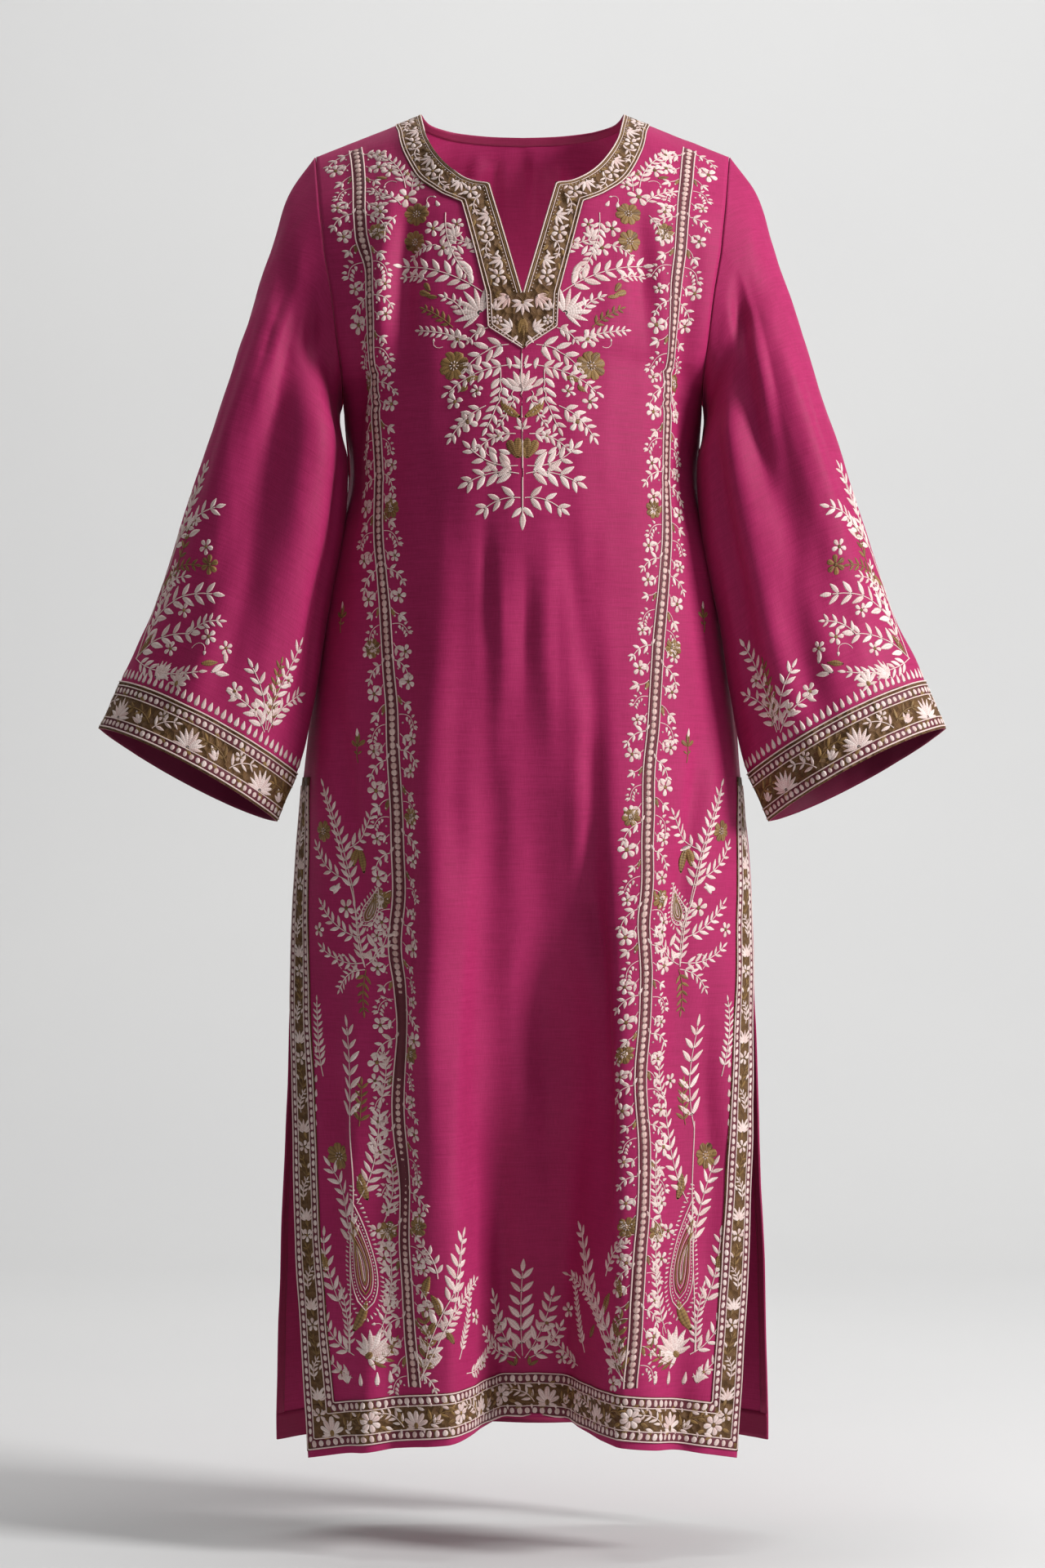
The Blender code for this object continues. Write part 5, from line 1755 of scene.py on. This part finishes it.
# The motifs on the wide middle
HEM_MOTIFS, SLIT_MOTIFS = 23, 29
left, across_hem, right = skirt_line(14.8, 20.0)
for n, at, _ in spaced(across_hem, HEM_MOTIFS):
    kind = n % 4
    if kind == 0:
        lotus(skirt_frame, toward(at, 270, 8), 90, 22)
    elif kind == 1:
        start, end = toward(at, 215, 12), toward(at, 25, 12)
        leafy(skirt_frame, "olive", start, end, 11, .14, 48)
        fan(skirt_frame, "cream", toward(start, 0, 5), 60, 3, 60, 12, 0.34)
    elif kind == 2:
        flower(skirt_frame, "cream", at, 9.4, 7, chance.uniform(0, 50))
        for angle in (25, 155, 205, 335):
            skirt_frame.stitch("olive", "leaf", toward(at, angle, 9), angle, 8, 3.8)
    else:
        start, end = toward(at, 325, 12), toward(at, 155, 12)
        leafy(skirt_frame, "cream", start, end, 10, -.14, 48)
        skirt_frame.stitch("olive", "scythe", toward(start, 180, 3), 100, 14, 6)
    for way in (1, -1):
        skirt_frame.stitch("olive", "leaf", toward(at, 90 * way, 8.6), 90 * way - 62, 9, 4.0, 0.5)
        skirt_frame.stitch("cream", "leaf", toward(at, 90 * way - 52, 11), 90 * way + 70, 8.5, 3.4)
        skirt_frame.stitch("cream", "drop", toward(at, 90 * way + 40, 11), 90 * way + 10, 5.5, 2.6)

for hand, line in ((-1, left), (1, right[::-1])):
    skirt_frame.hand = hand
    line = [(hand * x, y) for x, y in line]
    for n, at, _ in spaced(line, SLIT_MOTIFS):
        kind = n % 4
        if kind == 0:
            flower(skirt_frame, "cream", at, 6.4, 5, chance.uniform(0, 50))
        elif kind == 1:
            leafy(skirt_frame, "olive", toward(at, 260, 9), toward(at, 80, 9), 8.4, .1, 46)
        elif kind == 2:
            leafy(skirt_frame, "cream", toward(at, 285, 9), toward(at, 100, 9), 7.6, -.12, 46)
        else:
            fan(skirt_frame, "cream", toward(at, 270, 7), 90, 7, 130, 12, .3)
            skirt_frame.stitch("olive", "leaf", toward(at, 270, 5), 250, 8, 3.6)
        for way in (1, -1):
            skirt_frame.stitch("cream", "sickle" if way > 0 else "scythe", toward(at, 90 - way * 90, 3.6),
                               90 - way * 34, 6.5, 2.6)
skirt_frame.hand = 1
skirt_frame.finish()

# %% [markdown]
# ## Sprays on the skirt
#
# Between the bands and the slits stand tall sprays: ferns, olive flowers and paisleys that
# rise from a lotus at the hem, with a second spray at the hip. Three small sprays grow from
# the hem in the middle of the front.

# %% Skirt sprays
skirt = Work("skirt_stitches", front)
SKIRT_STEMS = (((139, -768), (148, -716), (161, -666), (177, -611)),
               ((152, -1108), (150, -990), (152, -905)),
               ((90, -1130), (68, -1085), (57, -1052), (54, -1006)))
SKIRT_BRANCHES = [Branch(*line) for line in (
    # hip spray
    (148, -712, 177, -609, 14, .05, "cream"), (156, -664, 134, -634, 13, .10, "cream"),
    (158, -690, 183, -662, 13, -.10, "cream"), (139, -768, 148, -716, 12, .04, "cream"),
    (140, -764, 178, -752, 12, -.12, "cream"), (138, -766, 119, -738, 13, .10, "cream"),
    (144, -742, 178, -714, 13, -.10, "cream"), (139, -770, 162, -788, 10, .12, "cream"),
    (138, -770, 140, -806, 11, .05, "olive"),
    # tall fern and its neighbours
    (152, -912, 155, -822, 19, .03, "cream"), (146, -976, 126, -893, 16, .06, "cream"),
    (150, -1020, 170, -946, 18, .06, "cream"), (158, -1072, 176, -1008, 16, -.06, "cream"),
    (177, -866, 183, -800, 10, -.05, "cream"), (144, -908, 142, -872, 12, .03, "olive"),
    (153, -1108, 160, -1052, 10, .06, "cream"), (126, -1090, 117, -1010, 11, .06, "cream"),
    (122, -992, 117, -936, 11, .06, "cream"), (148, -1110, 178, -1072, 14, -.12, "cream"),
    (134, -1118, 112, -1098, 12, .12, "olive"), (150, -1130, 174, -1110, 11, -.12, "cream"),
    (126, -888, 122, -842, 10, .08, "cream"),
    # hem sprays
    (0, -1120, 0, -1044, 20, .02, "cream"), (2, -1122, 26, -1066, 16, -.06, "cream"),
    (6, -1122, 34, -1094, 13, -.10, "cream"), (88, -1130, 61, -1054, 20, -.05, "cream"),
    (60, -1060, 53, -1006, 18, -.04, "cream"), (74, -1096, 42, -1046, 12, -.10, "cream"),
    (56, -1112, 47, -1048, 9, .05, "cream"), (90, -1126, 86, -1076, 15, .10, "olive"),
    (50, -1126, 26, -1102, 11, .12, "cream"), (74, -1040, 88, -1010, 12, .10, "cream"),
)]
SKIRT_LEAVES = [Leaf(*line) for line in (
    ("olive", "sickle", 140, -686, 80, 26, 9), ("olive", "scythe", 150, -680, 110, 20, 8),
    ("olive", "sickle", 150, -1090, 118, 34, 10), ("olive", "scythe", 86, -1058, 110, 22, 9),
    ("olive", "sickle", 72, -1074, 70, 22, 9), ("olive", "leaf", 84, -1092, 120, 18, 8),
    ("olive", "scythe", 136, -974, 80, 26, 11), ("olive", "sickle", 174, -1040, 80, 20, 8),
    ("olive", "leaf", 60, -1098, 60, 16, 7), ("cream", "leaf", 117, -1040, 80, 12, 5),
    ("cream", "leaf", 118, -1068, 80, 12, 5), ("cream", "leaf", 118, -1096, 95, 12, 5),
    ("cream", "drop", 116, -1134, 90, 12, 5), ("cream", "drop", 128, -1136, 95, 13, 5),
    ("cream", "drop", 142, -1137, 90, 12, 5), ("cream", "leaf", 130, -750, 60, 14, 6),
    ("cream", "leaf", 131, -760, 20, 13, 5.5), ("cream", "leaf", 124, -716, 80, 12, 5),
    ("cream", "leaf", 172, -700, 170, 15, 6), ("cream", "leaf", 168, -704, 130, 14, 5.5),
)]
SKIRT_FLOWERS = ((156, -716, 9), (124, -728, 7), (181, -736, 7), (128, -1000, 7.5), (178, -1036, 8),
                 (122, -1024, 7), (42, -1078, 7.5), (22, -1090, 8), (91, -1026, 7), (36, -1122, 6.5),
                 (160, -1126, 7), (130, -868, 7))
for _ in skirt.both():
    for places in SKIRT_STEMS:
        skirt.cord("cream", skirt.line(places), 1.1)
    spray(skirt, SKIRT_BRANCHES, SKIRT_LEAVES, lambda branch: 0.40 if branch.x < 100 else 0.34, 0.9)
    for n in range(20):
        skirt.stitch("cream", "drop", skirt.spot(184 + 0.01 * n * n, -846 - 13 * n), 100, 7.5, 4.2)
    paisley(skirt, skirt.spot(141, -731), 121, 38, -0.10, 0.21)
    paisley(skirt, skirt.spot(138, -1070), 92, 98, -0.12)
    lotus(skirt, skirt.spot(136, -1110), 140, 30)
    fan(skirt, "cream", skirt.spot(132, -1108), 110, 9, 190, 24, 0.26)
    fan(skirt, "cream", skirt.spot(154, -1136), 84, 5, 70, 14, 0.2)
    rosettes(skirt, ((162, -936, 12.5), (177, -648, 10), (91.5, -995, 9.5)), 7)
    flowers(skirt, SKIRT_FLOWERS)
    tendrils(skirt, ((160, -770, 40, 18, 140), (124, -1092, 130, 16, -140), (128, -800, 100, 14, 120)), 2.8)
    # Lone buds
    for x, z, size in ((161, -458, 12), (146, -573, 13)):
        at = skirt.spot(x, z)
        skirt.cord("olive", bowed(at, toward(at, 266, size * 1.1), 0.08), 0.9)
        fan(skirt, "olive", at, 90, 3, 110, size, 0.46, "petal")
        skirt.stitch("cream", "leaf", toward(at, 90, size * 0.5), 84, size * 0.8, size * 0.3)
        fan(skirt, "olive", toward(at, 266, size * 0.5), 90, 2, 120, size * 0.6, 0.4)
    fan(skirt, "olive", skirt.spot(6, -1129), 60, 2, 60, 14, .4)
skirt.finish()

# %% [markdown]
# ## Cuffs and sleeves
#
# The cuff border goes all round each sleeve: two rows of beads between cords, a wide ground
# of flowers and leaves, and a row of pointed drops above. A vine climbs the outer edge of the
# sleeve from it, and a smaller spray stands near the inner side.

# %% Cuffs
SLEEVE_STEM = ((344, -494), (326, -440), (306, -386), (283, -328))
SLEEVE_BRANCHES = [Branch(*line) for line in (
    # up the outer edge
    (313, -402, 272, -361, 17, -.08, "cream"), (298, -364, 283, -326, 15.5, -.04, "cream"),
    (319, -428, 290, -412, 11.5, -.10, "olive"), (334, -467, 274, -438, 19.5, -.10, "cream"),
    (345, -494, 294, -473, 18, -.08, "cream"), (345, -494, 286, -507, 13, .12, "cream"),
    (326, -442, 300, -422, 13, -.10, "cream"), (306, -386, 296, -350, 11.5, .10, "cream"),
    (336, -478, 324, -446, 13, .08, "cream"), (321, -446, 310, -412, 11.5, .08, "cream"),
    (296, -474, 268, -462, 11.5, -.10, "cream"), (306, -408, 297, -378, 11.5, .08, "olive"),
    # beside the body
    (227, -558, 198, -484, 15.5, -.06, "cream"), (228, -558, 238, -504, 15.5, .08, "cream"),
    (226, -560, 200, -527, 14.5, -.12, "cream"), (229, -560, 254, -528, 14.5, .10, "cream"),
    (222, -556, 214, -500, 11.5, -.06, "olive"),
)]
SLEEVE_LEAVES = [Leaf(*line) for line in (
    ("cream", "leaf", 300, -382, 110, 18, 7), ("cream", "leaf", 297, -386, 150, 17, 6.5),
    ("olive", "scythe", 342, -492, 112, 24, 9), ("olive", "sickle", 322, -430, 130, 18, 7),
    ("olive", "leaf", 284, -500, 150, 16, 6), ("cream", "leaf", 275, -508, 120, 15, 6),
    ("cream", "leaf", 272, -508, 160, 14, 5.5), ("cream", "leaf", 262, -500, 60, 12, 5),
)]
SLEEVE_FLOWERS = ((280, -396, 7.5), (277, -476, 7.5), (254, -524, 8), (300, -452, 7), (262, -486, 6.5),
                  (236, -540, 6.5), (290, -372, 6), (312, -486, 7), (208, -514, 6.5))


CUFF_PLACES, CUFF_MOTIFS = 60, 17


def cuff_path(sheet, height):
    """A flat line round the cuff at a height in mm, in unmirrored millimetres."""
    low, high = -sheet.cuff_front / MM + 1.0, sheet.cuff_back / MM - 1.0
    return [(low + (high - low) * n / CUFF_PLACES, height) for n in range(CUFF_PLACES + 1)]


for side, word in ((1, "left"), (-1, "right")):
    sheet = sleeves[side]
    cuff = Work(f"cuff_stitches_{word}", sheet)
    cuff.hand, cuff.base = side, ON_STRIP
    for height, size in ((2.5, 1.3), (11.5, 1.0), (33.5, 1.0), (42.5, 1.1), (46.0, 1.3)):
        cuff.cord("cream", cuff_path(sheet, height), size)
    for height in (7.0, 38.0):
        cuff.ribbon("umber", cuff_path(sheet, height), 8.4, 0.2)
        beads(cuff, "cream", cuff_path(sheet, height), 6.2, 5.8, 5.2, "bead", 90, 18)
    cuff.base = PLAIN
    beads(cuff, "cream", cuff_path(sheet, 54.0), 6.6, 10.0, 5.0, "drop", 90, 6)
    cuff.base = ON_STRIP
    for n, at, angle in spaced(cuff_path(sheet, 22.5), CUFF_MOTIFS):
        kind = n % 3
        if kind == 0:
            leafy(cuff, "olive", toward(at, 200, 13), toward(at, 15, 12), 12, .12, 48)
            fan(cuff, "cream", toward(at, 250, 9), 50, 3, 60, 14, .34)
        elif kind == 1:
            fan(cuff, "cream", toward(at, 262, 10), 84, 9, 168, 19, .26)
        else:
            leafy(cuff, "cream", toward(at, 320, 12), toward(at, 150, 11), 11, -.12, 52)
            flower(cuff, "cream", toward(at, 60, 7), 5.5, 5)
        for way in (1, -1):
            cuff.stitch("olive", "leaf", toward(at, 90 * way, 10), 90 * way - 58, 10, 4.4, 0.5)
    cuff.finish()

    vine = Work(f"sleeve_stitches_{word}", sheet)
    vine.hand = side
    vine.cord("cream", vine.line(SLEEVE_STEM), 1.1)
    spray(vine, SLEEVE_BRANCHES, SLEEVE_LEAVES, 0.38, 0.9)
    flower(vine, "olive", vine.spot(277, -412), 9.0, 6, 20)
    fan(vine, "cream", vine.spot(326, -512), 120, 7, 80, 20, 0.2)
    lotus(vine, vine.spot(306, -518), 100, 20)
    flowers(vine, SLEEVE_FLOWERS)
    tendrils(vine, ((292, -486, 100, 20, 150), (240, -546, 160, 14, -140)), 3.0)
    vine.finish()

# %% [markdown]
# ## Cloth facts
#
# The size that each panel and sleeve was cut to is printed. The flat
# places give it: the cut's width and length are those of the flat pattern, and its area is
# the sum of the flat faces.

# %% Sizes of the cut
def flat_size(sheet):
    """Width, length and area of the flat pattern, in metres."""
    spots = [spot for flats in sheet.flats.values() for spot in flats]
    width = max(u for u, _ in spots) - min(u for u, _ in spots)
    length = max(v for _, v in spots) - min(v for _, v in spots)
    area = 0.0
    for flats in sheet.flats.values():
        total = sum(a[0] * b[1] - b[0] * a[1] for a, b in zip(flats, flats[1:] + flats[:1]))
        area += abs(total) / 2
    return width, length, area


for word, sheet in (("front", front), ("back", back), ("left", sleeves[1]), ("right", sleeves[-1])):
    width, length, area = flat_size(sheet)
    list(strips_on[id(sheet)])
    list(laid.get(id(sheet), []))
    print(word, "cut", round(width, 3), "by", round(length, 3), "m, area", round(area, 4), "m2")

# %% Clear away the helpers, measure the size, and finish
for helper in [*carriers.values(), *pad_objects]:
    bpy.data.objects.remove(helper, do_unlink=True)
size = {"cad": [list(corner) for corner in cad_box], "visual": [list(corner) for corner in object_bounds()]}
